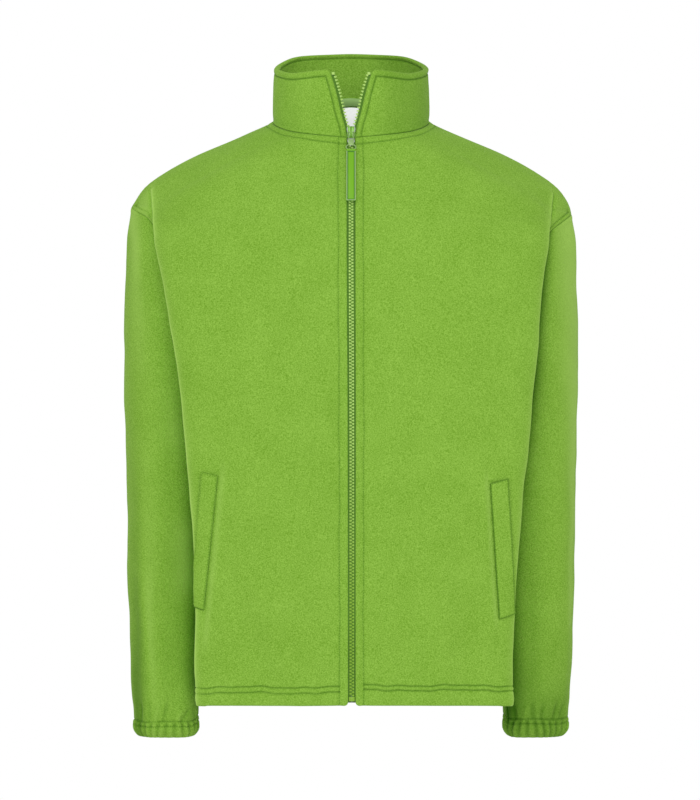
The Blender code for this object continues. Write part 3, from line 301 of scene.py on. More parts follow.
def backLines(at):                     # dense lines of the back, from the right to the left
    at = np.asarray(at, float)
    start = np.stack([0 * at, read(backForm, "centreY", at), read(backForm, "centreZ", at)], axis=-1)
    fold = np.stack([read(backForm, "foldX", at), read(backForm, "foldY", at),
                     read(backForm, "foldZ", at)], axis=-1)
    half = {side: levelLines(start, fold, read(backForm, "foldTurn", at), outerEdge(at, side, "armBack"),
                             read(backForm, "edgeTurn", at), 1, 0 * at + 0.34, 0 * at + 0.36)
            for side in sign}
    lines = np.concatenate([half["right"][:, :0:-1] * mirror["right"], half["left"]], axis=1)
    facing = ramp(lines[..., 1], 60, 25)
    lines[..., 1] += foldHeight(softFolds["back"], lines[..., 0], lines[..., 2]) * facing
    return lines


def walk(lines, near, far, count):     # points along each line, fine at both ends
    out = []
    for line in lines:
        run = runOf(line)
        middle = np.linspace(near[-1], run[-1] - far[-1], count + 2)[1:-1]
        s = np.concatenate([near, middle, run[-1] - np.array(far)[::-1]])
        out.append(pointsAt(s, run, line))
    return np.array(out)


def creaseX(side, z):                  # where the fold runs on over the shoulder
    return 234.8 + 0.125 * (z + 108) if side == "right" else 237.2 + 0.17 * (z + 108)


def foldRuns(side, lines, at):         # how far along each line of a front its fold lies
    runs = []
    for line, level in zip(lines, at):
        run = runOf(line)
        past = np.nonzero(line[:, 0] > creaseX(side, line[:, 2]))[0]
        onTop = run[past[0]] if len(past) else run[-1]
        share = ramp(level, 1.70, 0.12)
        runs.append(min(run[lineSteps - 1] * (1 - share) + onTop * share, run[-1] - 24))
    weights = hump(at[:, None], at[None, :], 0.025)
    return weights @ np.array(runs) / weights.sum(axis=1)


def walkToFold(lines, places):         # as walk, with columns that follow the fold of a front
    out = []
    for line, place in zip(lines, places):
        run = runOf(line)
        first = np.linspace(grids["zipColumns"][-1], place - 8, grids["frontCount"] + 2)[1:-1]
        last = np.linspace(place + 8, run[-1] - grids["seamColumns"][-1], grids["returnCount"] + 2)[1:-1]
        s = np.concatenate([grids["zipColumns"], first, place + np.array(grids["foldColumns"]), last,
                            run[-1] - np.array(grids["seamColumns"])[::-1]])
        out.append(pointsAt(s, run, line))
    return np.array(out)


def unit(v):
    return v / np.maximum(np.linalg.norm(v, axis=-1, keepdims=True), 1e-9)


def normalsOf(grid, outward, closed=False):
    if closed:
        across = np.roll(grid, -1, axis=1) - np.roll(grid, 1, axis=1)
    else:
        across = np.gradient(grid, axis=1)
    return unit(np.cross(across, np.gradient(grid, axis=0))) * outward


def fromStart(grid, axis):             # length run along each grid line
    step = np.linalg.norm(np.diff(grid, axis=axis), axis=-1)
    run = np.cumsum(step, axis=axis)
    pad = [(0, 0), (0, 0)]
    pad[axis] = (1, 0)
    return np.pad(run, pad)


unevenness = {                         # size, height and place of a broad and of a small unevenness
    "body": ((70.0, 1.6, 3.1), (26.0, 0.6, 7.7)), "collar": ((45.0, 1.5, 2.2), (18.0, 0.5, 6.1)),
    "left": ((60.0, 1.7, 5.3), (24.0, 0.6, 1.9)), "right": ((60.0, 1.7, 9.4), (24.0, 0.6, 1.9)),
}


def wander(grid, name):                # the slow unevenness of worn cloth
    total = np.zeros(grid.shape[:2])
    for size, height, place in unevenness[name]:
        values = [noise.noise(Vector(p)) for p in grid.reshape(-1, 3) / size + place]
        total += np.array(values).reshape(grid.shape[:2]) * height
    return total


# Rows and columns, in millimetres from a border or as shares.
fineEdge = [0, 0.13, 0.42, 0.85, 1.35, 2.0, 2.9, 3.9]
grids = {
    "hemRows": [0, 0.13, 0.45, 0.95, 1.6, 2.3, 3.4, 5, 7.5, 10, 12.5, 14.5, 16, 17, 17.8, 18.5, 19.2,
                20, 21, 22, 23, 23.8, 24.5, 25.2, 26, 27, 28.5, 31],
    "bodyStep": 5.0, "armSteps": 60, "topSteps": 26,
    "neckRows": [0.125, 0.115, 0.105, 0.095, 0.086, 0.077, 0.068, 0.059, 0.05, 0.042, 0.034, 0.027,
                 0.02, 0.0145, 0.0095, 0.0055, 0.002, 0],
    "zipColumns": fineEdge + [5, 6.2, 7.2, 7.8, 8.4, 8.9, 9.4, 9.9, 10.4, 11, 12, 14],
    "seamColumns": fineEdge + [4.6, 5.2, 5.8, 6.4, 7.1, 8.4, 10.5],
    "foldColumns": [-8, -6, -4.4, -3.2, -2.3, -1.6, -1.0, -0.5, 0, 0.5, 1.0, 1.6, 2.3, 3.2, 4.4, 6, 8],
    "frontCount": 62, "returnCount": 18, "backCount": 96, "armColumns": 40,
    "pocketColumn": 60,
}
hemLine = grids["hemRows"][-1]
bodyCount = int((body["bodyLong"] - hemLine) / grids["bodyStep"])
lowerRows = np.concatenate([np.array(grids["hemRows"]) / body["bodyLong"],
                            np.linspace(hemLine / body["bodyLong"], 1, bodyCount + 1)[1:]])
armShares = np.linspace(0, 1, grids["armSteps"] + 1)
topRows = np.concatenate([np.linspace(2, 3 - 0.14, grids["topSteps"])[1:],
                          3 - np.array(grids["neckRows"])])
bodyRows = np.concatenate([lowerRows, 1 + armShares[1:], topRows])
armFirst, armLast = len(lowerRows) - 1, len(lowerRows) - 1 + grids["armSteps"]
print("rows of the body", len(bodyRows))


def setSockets(tree, node, values):    # a value for each socket, or a link from another node
    for key, value in values.items():
        if isinstance(value, bpy.types.NodeSocket):
            tree.links.new(value, node.inputs[key])
        else:
            node.inputs[key].default_value = (*value, 1) if isinstance(value, tuple) else value


def addNode(tree, kind, values=None, **settings):
    node = tree.nodes.new("ShaderNode" + kind)
    for key, value in settings.items():
        setattr(node, key, value)
    setSockets(tree, node, values or {})
    return node


def maths(tree, kind, *values):
    return addNode(tree, "Math", dict(enumerate(values)), operation=kind).outputs["Value"]


def blend(tree, share, a, b):
    return addNode(tree, "Mix", {"Factor": share, "A": a, "B": b}, data_type="RGBA").outputs["Result"]


def bumps(tree, strength, distance, height):
    node = addNode(tree, "Bump", {"Strength": strength, "Distance": distance, "Height": height})
    return node.outputs["Normal"]


def objectPlace(tree):
    return addNode(tree, "TexCoord").outputs["Object"]


def material(name, values):            # a finish with its shader's own values
    m = bpy.data.materials.new(name)
    m.use_nodes = True
    tree = m.node_tree
    shader = tree.nodes["Principled BSDF"]
    setSockets(tree, shader, values)
    return m, tree, shader


def fleece(name, deep, colour, pale):
    m, tree, shader = material(name, {
        "Roughness": 0.95, "Specular IOR Level": 0.08, "Sheen Weight": 0.22, "Sheen Roughness": 0.32,
        "Sheen Tint": (0.75, 1.0, 0.4)})
    place = objectPlace(tree)
    # Tufts, their finer pile and slow patches, mixed to one share from ground to tip.
    grains, share = [], 0.5
    for scale, detail, weight in ((720, 1.0, 1.7), (1400, 2.0, 1.6), (24, 2.0, 0.35)):
        grain = addNode(tree, "TexNoise", {"Scale": scale, "Detail": detail, "Roughness": 0.5,
                                           "Vector": place})
        grains.append(grain.outputs["Fac"])
        share = maths(tree, "MULTIPLY_ADD", maths(tree, "SUBTRACT", grains[-1], 0.5), weight, share)
    ground = tuple(0.62 * c + 0.38 * d for c, d in zip(colour, deep))
    tip = tuple(0.50 * c + 0.50 * d for c, d in zip(colour, pale))
    cloth = blend(tree, share, ground, tip)
    # The tone is above 0 where it blends to deep: where sewn rows press the pile, and painted shade in seams,
    # cracks and fold valleys. Below 0 it blends to pale: a painted highlight on fold rims and ridges.
    tone = addNode(tree, "Attribute", attribute_name="tone").outputs["Fac"]
    cloth = blend(tree, maths(tree, "MAXIMUM", tone, 0.0), cloth, deep)
    cloth = blend(tree, maths(tree, "MAXIMUM", maths(tree, "MULTIPLY", tone, -1.0), 0.0), cloth, pale)
    tuft, nap, _ = grains
    normal = bumps(tree, 0.55, 0.001, maths(tree, "MULTIPLY_ADD", nap, 0.4, tuft))
    setSockets(tree, shader, {"Base Color": cloth, "Normal": normal})
    return m


# deep is the painted shade colour and the grain's ground, pale the painted highlight colour and the grain's
# tip
fleeceCloth = fleece("fleece_green", (0.026, 0.120, 0.001), (0.264, 0.546, 0.037), (0.470, 0.760, 0.150))


def makeMesh(name, points, faces, finish, body_):
    mesh = bpy.data.meshes.new(name)
    mesh.from_pydata([tuple(p) for p in np.asarray(points) * mm], [], faces)
    mesh.validate()
    mesh.shade_smooth()
    mesh.materials.append(finish)
    obj = bpy.data.objects.new(name, mesh)
    scene.collection.objects.link(obj)
    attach(obj, body_)
    return obj


def clothShell(name, middle, normals, half, finish, closed=False, flip=False, innerRows=None,
               pressAndPaintedLight=None):
    # A wall whose two faces stand half its thickness off the middle and meet at every border.
    rows, cols = middle.shape[:2]
    pressAndPaintedLight = np.zeros((rows, cols)) if pressAndPaintedLight is None else np.broadcast_to(pressAndPaintedLight, (rows, cols))
    # The tone darkens where sewn rows press the pile and carries painted light: painted shade in cracks and
    # hollows, painted highlights on rims and ridges.
    marks = list(pressAndPaintedLight.reshape(-1))
    outer = middle + normals * half[..., None]
    inner = middle - normals * half[..., None]
    keep = list(range(rows)) if innerRows is None else innerRows
    points, index = list(outer.reshape(-1, 3)), np.zeros((len(keep), cols), int)
    for i, row in enumerate(keep):
        for j in range(cols):
            if row in (0, rows - 1) or (not closed and j in (0, cols - 1)):
                index[i, j] = row * cols + j
            else:
                index[i, j] = len(points)
                points.append(inner[row, j])
                marks.append(pressAndPaintedLight[row, j])
    faces = []
    for table, turned in ((np.arange(rows * cols).reshape(rows, cols), flip), (index, not flip)):
        after = np.roll(table, -1, axis=1)
        wide = cols if closed else cols - 1
        quads = np.stack([table[:-1, :wide], after[:-1, :wide], after[1:, :wide], table[1:, :wide]], axis=-1)
        quads = quads.reshape(-1, 4)
        faces += (quads[:, ::-1] if turned else quads).tolist()
    obj = makeMesh(name, points, faces, finish, "jacket")
    obj.data.attributes.new("tone", "FLOAT", "POINT").data.foreach_set("value", marks)
    return obj, outer


def roundEdge(distance, radius):
    return np.sqrt(1 - (1 - ramp(distance, 0, radius)) ** 2)


def roundBorders(grid, radius):        # the share of the wall that is left near every border
    across, down = fromStart(grid, 1), fromStart(grid, 0)
    return np.minimum(roundEdge(np.minimum(across, across[:, -1:] - across), radius),
                      roundEdge(np.minimum(down, down[-1:] - down), radius))


def pullApart(grid, closed=False, ends=(0, -1), sides=(0, -1), endGap=None):   # a hair off each seam line
    for i in ends:
        beside = grid[1] if i == 0 else grid[-2]
        grid[i] += unit(beside - grid[i]) * (endGap or body["seamGap"])
    if not closed:
        for j in sides:
            beside = grid[:, 1] if j == 0 else grid[:, -2]
            grid[:, j] += unit(beside - grid[:, j]) * body["seamGap"]
    return grid


def edgeCloser(z):                     # the fleece edges close over the zip, more so lower down
    low = fall(np.asarray(z, float), -150, 350)
    return body["closer"] + (body["closerLow"] - body["closer"]) * low


def driftAt(z):                        # the zip hangs a little off the middle
    t = fall(np.asarray(z, float), -120, 260)
    return body["drift"] * smooth(t)


# All the smooth faces first, so that pieces share one direction along each seam.
faces, normals, foldAt = {}, {}, {}
for side in sign:
    lines = frontLines(side, bodyRows)
    foldAt[side] = foldRuns(side, lines, bodyRows)[:, None]
    grid = walkToFold(lines, foldAt[side][:, 0])
    run = fromStart(grid, 1)
    grid[..., 0] -= edgeCloser(grid[..., 2]) * hump(run, 0, 15)
    u = np.clip(1 - fromStart(grid, 0) / body["corner"], 0, 1)
    v = np.clip(1 - run / body["corner"], 0, 1)          # the low corner beside the zip is round
    grid[..., 2] += body["corner"] * u * (1 - np.sqrt(1 - v * v / 2))
    grid[..., 0] += body["corner"] * v * (1 - np.sqrt(1 - u * u / 2))
    grid = grid * mirror[side]
    grid[..., 0] += driftAt(grid[..., 2]) * hump(grid[..., 0], 0, 70)
    faces["front_" + side] = grid
faces["back"] = walk(backLines(bodyRows), grids["seamColumns"], grids["seamColumns"], grids["backCount"])
for name in ("front_left", "front_right", "back"):
    grid = faces[name]                 # the hem hangs a little lower at the sides
    low = fall(grid[..., 2], -600, 81)
    away = ramp(grid[..., 1], -118, 60) * fall(grid[..., 1], 112, 90)
    grid[..., 2] -= body["hemDip"] * away * smooth(low)
    normals[name] = normalsOf(grid, 1.0 if name == "front_left" else -1.0)
print("body faces", faces["front_left"].shape, faces["back"].shape)

# Sleeve rings: k runs from the shoulder down the front to the armpit and up the back, twice halfRing in all.
armFine = np.linspace(0, 1, 2 * grids["armSteps"] + 1)
armIndex = np.interp(armFine, armRows, np.arange(len(armRows)))
ringPlaces = np.concatenate([halfRing - armIndex[::-1], halfRing + armIndex[1:-1]])
armSeam = {side: np.concatenate([seams[side]["armFront"](armFine[::-1]),
                                 seams[side]["armBack"](armFine[1:-1])]) for side in sign}


def sleeveRings(along):
    along = np.asarray(along, float)
    outer = np.stack([read(sleeveForm, "outerX", along), 0 * along, read(sleeveForm, "outerZ", along)], -1)
    inner = np.stack([read(sleeveForm, "innerX", along), 0 * along, read(sleeveForm, "innerZ", along)], -1)
    middle = (outer + inner) / 2
    middle[:, 1] = read(sleeveForm, "middleY", along)
    a = ringPlaces * math.pi / halfRing
    depth = read(sleeveForm, "depth", along)
    rings = middle[:, None] + np.cos(a)[None, :, None] * (outer - inner)[:, None] / 2
    rings[..., 1] -= np.sin(a)[None, :] * depth[:, None]
    return rings


def alongOf(z):                        # below the elbow every ring is level
    return np.interp(-np.asarray(z, float), -sleeveForm["outerZ"], sleeveForm["along"])


sleeveRows = np.concatenate([
    [0, 0.0002, 0.0007, 0.0014, 0.0022, 0.0033, 0.0048, 0.0068, 0.009, 0.012],
    np.linspace(0.016, alongOf(-690), 104), alongOf(np.arange(-691.5, -729.6, -1.25)),
    alongOf([-729.7, -730.2, -730.6, -730.85, -731])])
rings = sleeveRings(sleeveRows)
t = ramp(sleeveRows, 0, 0.2)
for side in sign:
    meet = (armSeam[side] - sleeveRings([0.0])[0])[None] * smooth(1 - t)[:, None, None]
    faces["sleeve_" + side] = (rings + meet) * mirror[side]
    normals["sleeve_" + side] = normalsOf(faces["sleeve_" + side], sign[side], closed=True)
print("sleeve face", rings.shape)

collar = {
    "wall": 5.0, "corner": 5.0, "rimRowEnds": 14, "openRowEnds": 12,
    "front": (23, -81, 62), "frontFold": (70, -57, 59), "side": (92.6, 2, 73),
    "backFold": (69, 58, 93.2), "back": (0, 82, 99), "turns": {"front": 50, "back": 46, "side": 84},
    "rowsFromSeam": [0, 0.13, 0.42, 0.85, 1.35, 2.1, 3.2, 4.6, 6.5],
    "rowsFromRim": [13, 11.4, 10.2, 9.4, 8.9, 8.4, 7.9, 7.4, 6.8, 6, 5, 4, 3.1, 2.3, 1.6, 0.95, 0.45,
                    0.12, 0]}


def neckLine():                        # right zip edge, round the back, left zip edge
    right, back, left = (faces[n][-1] for n in ("front_right", "back", "front_left"))
    return np.concatenate([right[:-1], back, left[::-1][1:]])


def shareOf(line):
    run = runOf(line)
    return run / run[-1]


def rimLine():
    at = {key: np.array([collar[key]], float) for key in ("front", "frontFold", "side", "backFold", "back")}
    turn = {key: np.array([value], float) for key, value in collar["turns"].items()}
    pull = np.array([0.34]), np.array([0.36])
    front = levelLines(at["front"], at["frontFold"], turn["front"], at["side"], turn["side"], -1, *pull)[0]
    rear = levelLines(at["back"], at["backFold"], turn["back"], at["side"], turn["side"], 1, *pull)[0]
    rear = np.concatenate([rear[:0:-1] * mirror["right"], rear])
    lines = []
    for line, like in ((front, faces["front_left"][-1]), (rear, faces["back"][-1])):
        lines.append(pointsAt(shareOf(like), shareOf(line), line))
    front, rear = lines
    line = np.concatenate([(front * mirror["right"])[:-1], rear, front[::-1][1:]])
    return eased(line, 17.0)


def eased(line, reach):                # a line without its sharp turns, its ends kept
    run = runOf(line)
    away = np.minimum(run, run[-1] - run)
    weights = hump(run[:, None], run[None, :], reach) * np.gradient(run)[None, :]
    mean = weights @ line / weights.sum(axis=1, keepdims=True)
    keep = ramp(away, 0, 2 * reach)[:, None]
    return line * (1 - keep) + mean * keep


seamLine, rim = neckLine(), rimLine()
tall = np.linalg.norm(rim - seamLine, axis=1).mean()
ups = np.concatenate([np.array(collar["rowsFromSeam"]) / tall, np.linspace(0.1, 0.8, 16)[1:-1],
                      1 - np.array(collar["rowsFromRim"]) / tall])
grid = seamLine[None] * (1 - ups[:, None, None]) + rim[None] * ups[:, None, None]
plain = (body["zipEdge"] * (1 - ups) + collar["front"][0] * ups)[:, None]
nearOpening = np.clip(1 - (abs(grid[..., 0]) - plain) / 45, 0, 1) * (grid[..., 1] < 0)
grid[..., 0] += np.sign(grid[..., 0]) * (read(collarForm, "edge", ups)[:, None] - plain) * nearOpening**2
grid += unit(grid * np.array([1, 1, 0])) * read(collarForm, "swell", ups)[:, None, None]
sideRun = fromStart(grid, 1)
u = np.clip(1 - (1 - ups[:, None]) * tall / collar["corner"], 0, 1)
for near, way in ((sideRun, 1), (sideRun[:, -1:] - sideRun, -1)):   # the top corners of the opening are round
    v = np.clip(1 - near / collar["corner"], 0, 1)
    grid[..., 2] -= collar["corner"] * u * (1 - np.sqrt(1 - v * v / 2))
    grid[..., 0] -= way * collar["corner"] * v * (1 - np.sqrt(1 - u * u / 2))
faces["collar"], normals["collar"] = grid, normalsOf(grid, -1.0)
print("collar face", grid.shape)

# Directions at the seams are the mean of the pieces that meet there.
backCols, frontCols = faces["back"].shape[1], faces["front_left"].shape[1]
halfway = 2 * grids["armSteps"]
for side in sign:
    edge = -1 if side == "left" else 0
    front, back, ring = normals["front_" + side], normals["back"], normals["sleeve_" + side]
    both = front[:, -1] + back[:, edge]
    shared, sharedBack = both.copy(), both.copy()
    shared[armFirst + 1:armLast] = front[armFirst + 1:armLast, -1]
    sharedBack[armFirst + 1:armLast] = back[armFirst + 1:armLast, edge]
    shared[armFirst:armLast + 1] += ring[0, halfway::-2]
    sharedBack[armFirst:armLast + 1] += np.concatenate([ring[0, halfway::2], ring[0, :1]])
    front[:, -1], back[:, edge] = unit(shared), unit(sharedBack)
    ring[0, halfway::-2] = front[armFirst:armLast + 1, -1]
    ring[0, halfway::2] = back[armFirst:armLast, edge]
    ring[0, 1:halfway:2] = unit(ring[0, 0:halfway:2] + ring[0, 2:halfway + 2:2])
    ahead = np.concatenate([ring[0, halfway + 2::2], ring[0, :1]])
    ring[0, halfway + 1::2] = unit(ring[0, halfway::2] + ahead)
neckNormals = normals["collar"][0]
for part, name, step in ((slice(0, frontCols), "front_right", 1),
                         (slice(frontCols - 1, frontCols - 1 + backCols), "back", 1),
                         (slice(frontCols + backCols - 2, None), "front_left", -1)):
    met = unit(normals[name][-1][::step] + neckNormals[part])
    normals[name][-1] = met[::step]
    neckNormals[part] = met

sewing = {
    "hemRows": {"front_left": (18.4, 23.9), "front_right": (15.4, 22.0), "back": (18.6, 24.2)},
    "neckRow": 8.0, "armRow": 5.6, "zipRow": {"left": 9.2, "right": 9.9}, "rimRow": 8.2, "openRow": 7.2,
    "pitch": 3.1, "thread": 0.36, "share": 0.8, "sunk": 0.1, "near": 0.9,
}
rowsOfStitches = {name: [] for name in faces}


def lineOn(outer, outward, run, value, across=False):   # the line of a face where a run has a value
    if across:
        outer, outward, run = outer.swapaxes(0, 1), outward.swapaxes(0, 1), run.T
    points, directions = [], []
    for j, wanted in enumerate(np.broadcast_to(value, run.shape[1])):
        way = 1 if run[-1, j] > run[0, j] else -1
        k = float(np.interp(wanted * way, run[:, j] * way, np.arange(len(run))))
        i = min(int(k), len(run) - 2)
        points.append(outer[i, j] * (1 - k + i) + outer[i + 1, j] * (k - i))
        directions.append(outward[i, j] * (1 - k + i) + outward[i + 1, j] * (k - i))
    return np.array(points), unit(np.array(directions))


def hemWave(run):                      # hem rows are never quite straight
    return 0.75 * np.sin(run / 17.0 + 1.0) + 0.5 * np.sin(run / 7.3) + 0.35 * np.sin(run / 4.1 + 2)


def zipRowAt(side, height):            # nor is the row beside the zip
    return sewing["zipRow"][side] + 0.35 * np.sin(height / 23) + 0.25 * np.sin(height / 9.7)


foldEdgePaintedLight = {                           # painted highlight on the rim and painted shade in the crack of the fold on each side, in shares of the tone
    "right": {"rim": 0.95, "glow": 0.42, "crack": 0.40, "cap": -0.36},
    "left": {"rim": 0.30, "glow": 0.34, "crack": 1.0, "cap": -0.10},
}


def foldEdge(side, run, at, x, y, z):  # the front stands proud of its fold, sharply so over the shoulder
    high = ramp(at, 1.66, 0.10)
    off = (run - foldAt[side]) * (1 - high) + 1.4 * (x - creaseX(side, z)) * high
    ahead = smooth(fall(y, -2, 20))    # gone where the shoulder turns to the back
    onCap = ramp(at, 1.60, 0.2) * ahead
    rise = 0.9 * hump(off, -1.8, 2.0) * (0.5 + onCap) * ahead
    rise -= 2.0 * onCap * hump(off, 2.6, 3.0)
    look = foldEdgePaintedLight[side]
    # Painted light: a pale highlight on the fold's rim and a broader one inside it, painted shade in the
    # crack by the shoulder cap, and the cap painted paler.
    tone = -look["rim"] * ahead * hump(off, -0.9, 1.9)
    tone -= look["glow"] * ahead * hump(np.minimum(off + 1, 0), 0, 6.0) * (off < 3)
    tone += look["crack"] * onCap * hump(off, 1.7, 1.0)
    tone += look["cap"] * onCap * ramp(off, 3, 4)
    return rise, tone


def toSeam(grid, curve):               # true distance from each point to a seam
    points = grid.reshape(-1, 1, 3)
    nearest = [np.linalg.norm(part - curve[None], axis=-1).min(axis=1)
               for part in np.array_split(points, 40)]
    return np.concatenate(nearest).reshape(grid.shape[:2])


def sewnBody(name):                    # how far each point of a body piece is moved out
    grid = faces[name]
    zipRun, hemRun = fromStart(grid, 1), fromStart(grid, 0)
    seamRun, neckRun = zipRun[:, -1:] - zipRun, hemRun[-1:] - hemRun
    if name == "back":
        seamRun = np.minimum(seamRun, zipRun)
    at = bodyRows[:, None]
    out = wander(grid, "body")
    inSeam = ramp(zipRun, 8.6, 1.2) if name != "back" else 1.0
    # The tone: darker where sewn rows press the pile, with painted shade in their grooves and in the armhole
    # seam, and the painted light of the fold edges and pockets.
    pressAndPaintedLight = 0.34 * hump(neckRun, sewing["neckRow"])
    hemRows = sewing["hemRows"][name]
    for row in hemRows:
        out += groove(hemRun, row + hemWave(zipRun), 0.6, 1.3) * inSeam
        pressAndPaintedLight = pressAndPaintedLight + 0.38 * hump(hemRun, row + hemWave(zipRun), 1.1) * inSeam
    between = sum(hemRows) / 2 + hemWave(zipRun)
    out += 0.9 * hump(hemRun, 9, 5.5) + 0.4 * hump(hemRun, between, 1.6) * inSeam
    out += 0.4 * np.sin(zipRun / 3.1 + 2 * np.sin(zipRun / 21)) * hump(hemRun, 28, 7) * inSeam
    out += groove(neckRun, sewing["neckRow"], 0.85, 1.4) + 1.0 * hump(neckRun, 4, 2.3)
    armRun = armRuns[name]
    onArm = ramp(at, 1.02, 0.05)
    out += (groove(armRun, sewing["armRow"], 0.9, 1.0) + 0.7 * hump(armRun, 2.9, 1.7)) * onArm
    pressAndPaintedLight = pressAndPaintedLight + (0.5 * hump(armRun, sewing["armRow"], 1.1) + 0.6 * hump(armRun, 0, 1.3)) * onArm
    if name != "back":
        side = name.split("_")[1]
        x, z = grid[..., 0] * sign[side], grid[..., 2]
        row = zipRowAt(side, hemRun)
        out += groove(zipRun, row, 0.9, 0.75)
        pressAndPaintedLight = pressAndPaintedLight + 0.12 * hump(zipRun, row, 1.3)
        out += 0.6 * hump(zipRun, 4.2, 2.0) - 1.3 * hump(zipRun, 8, 7)
        out += 0.3 * np.sin(hemRun / 2.9 + 2.5 * np.sin(hemRun / 31)) * hump(zipRun, 8.6, 3.5)
        front = fall(grid[..., 1], -40, 20)
        rise, tone = foldEdge(side, zipRun, at, x, grid[..., 1], z)
        out += 0.5 * foldHeight(softFolds[side], x, z) * front + rise
        pressAndPaintedLight = np.clip(pressAndPaintedLight, 0, 1) * (1 - np.clip(-tone, 0, 1)) + tone
        out += pocketDip(side, x, z) * front
        pressAndPaintedLight = pressAndPaintedLight + pocketPaintedLight(side, x, z) * front
    calm = ramp(np.minimum(seamRun, np.minimum(neckRun, hemRun + 20)), 0, 12)
    out *= ramp(np.minimum(seamRun, neckRun), 0, 2.0) * (0.4 + 0.6 * calm)
    return out, pressAndPaintedLight, zipRun, seamRun, hemRun, neckRun


welts = {                              # inner edge from top to low, width, slope of the ends, a painted pale ridge, edge tones of painted shade
    "right": {"top": (154.2, -412.0), "low": (171.0, -568.6), "width": 19.6, "tilt": 4.6,
              "ridge": 0.30, "ridgeOff": 5.5, "ridgeWide": 3.5, "ridgeOn": 0.35,
              "edges": {"inner": 0.30, "outer": 0.16, "top": 0.10, "low": 0.95}},
    "left": {"top": (160.8, -420.0), "low": (171.8, -578.2), "width": 22.0, "tilt": 5.8,
             "ridge": 0.40, "ridgeOff": 3.4, "ridgeWide": 2.4, "ridgeOn": 0.1,
             "edges": {"inner": 0.75, "outer": 0.65, "top": 0.60, "low": 0.65}},
}


def besidePocket(side, x, z):          # distance out from the pocket's inner edge, share of the way up
    w = welts[side]
    along = (z - w["low"][1]) / (w["top"][1] - w["low"][1])
    return x - w["low"][0] - (w["top"][0] - w["low"][0]) * along, along


def pocketDip(side, x, z):             # the cloth is drawn in along the pocket's inner edge
    off, along = besidePocket(side, x, z)
    fade = ramp(np.minimum(along + 0.25, 1.25 - along), 0, 0.25)
    return fade * (groove(off, -1.0, 2.6, 1.3) + 0.9 * hump(off, -8, 6))


def pocketPaintedLight(side, x, z):            # painted shade in the crack round the welt, a painted highlight on the ridge along it
    off, along = besidePocket(side, x, z)
    w = welts[side]
    long = math.dist(w["top"], w["low"])
    across = np.maximum(-off, off - w["width"])
    shade = hump(np.clip(np.maximum(across, np.maximum(-along, along - 1) * long), 0, 99), 0, 1.6)
    ends = ramp(np.minimum(along + w["ridgeOn"], 1.1 - along), 0, 0.12)
    return 0.25 * shade - w["ridge"] * ends * hump(off, -w["ridgeOff"], w["ridgeWide"])


shares = np.linspace(0, 1, 400)
armLines = {(side, arm): seams[side][arm](shares) * mirror[side]
            for side in sign for arm in ("armFront", "armBack")}
armRuns = {"front_" + side: toSeam(faces["front_" + side], armLines[side, "armFront"]) for side in sign}
armRuns["back"] = np.minimum(*(toSeam(faces["back"], armLines[side, "armBack"]) for side in sign))
outers = {}
for name in ("front_left", "front_right", "back"):
    out, pressAndPaintedLight, zipRun, seamRun, hemRun, neckRun = sewnBody(name)
    n = normals[name]
    turnedUp = (body["hemWall"] - body["wall"]) * fall(hemRun, body["hemDepth"], 1.2)
    turnedUp *= ramp(np.minimum(seamRun, neckRun), 0, 4)
    borders = [(seamRun, 1.1), (neckRun, 1.1), (hemRun, 2.2)]
    if name != "back":
        turnedUp *= ramp(zipRun, 0, 12)
        borders.append((zipRun, 1.25))
    wall = body["wall"] + turnedUp
    rounding = np.minimum.reduce([roundEdge(run, radius) for run, radius in borders])
    grid = faces[name] + n * out[..., None]
    sides = (-1,) if name != "back" else (0, -1)
    middle = pullApart(grid - n * wall[..., None] / 2, sides=sides, ends=(-1,), endGap=body["neckGap"])
    obj, outer = clothShell("cloth_" + name, middle, n, wall / 2 * rounding, fleeceCloth,
                            flip=name != "front_left", pressAndPaintedLight=pressAndPaintedLight)
    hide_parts(name)
    outers[name] = outer
    rows = rowsOfStitches[name]
    start = 0 if name == "back" else 18                  # clear of the placket
    levelRows = [lineOn(outer, n, hemRun, row + hemWave(zipRun[0])) for row in sewing["hemRows"][name]]
    levelRows.append(lineOn(outer, n, neckRun, sewing["neckRow"]))
    rows += [[v[start:] for v in line] for line in levelRows]
    near = grids["armColumns"]
    rightArm = [slice(None, near)] if name == "back" else []
    for part in rightArm + [slice(-near, None)]:
        line = lineOn(outer[:, part], n[:, part], armRuns[name][:, part], sewing["armRow"], across=True)
        rows.append([v[armFirst + 1:armLast] for v in line])
    if name != "back":
        rows.append(lineOn(outer, n, zipRun, zipRowAt(name.split("_")[1], hemRun[:, 0]), across=True))

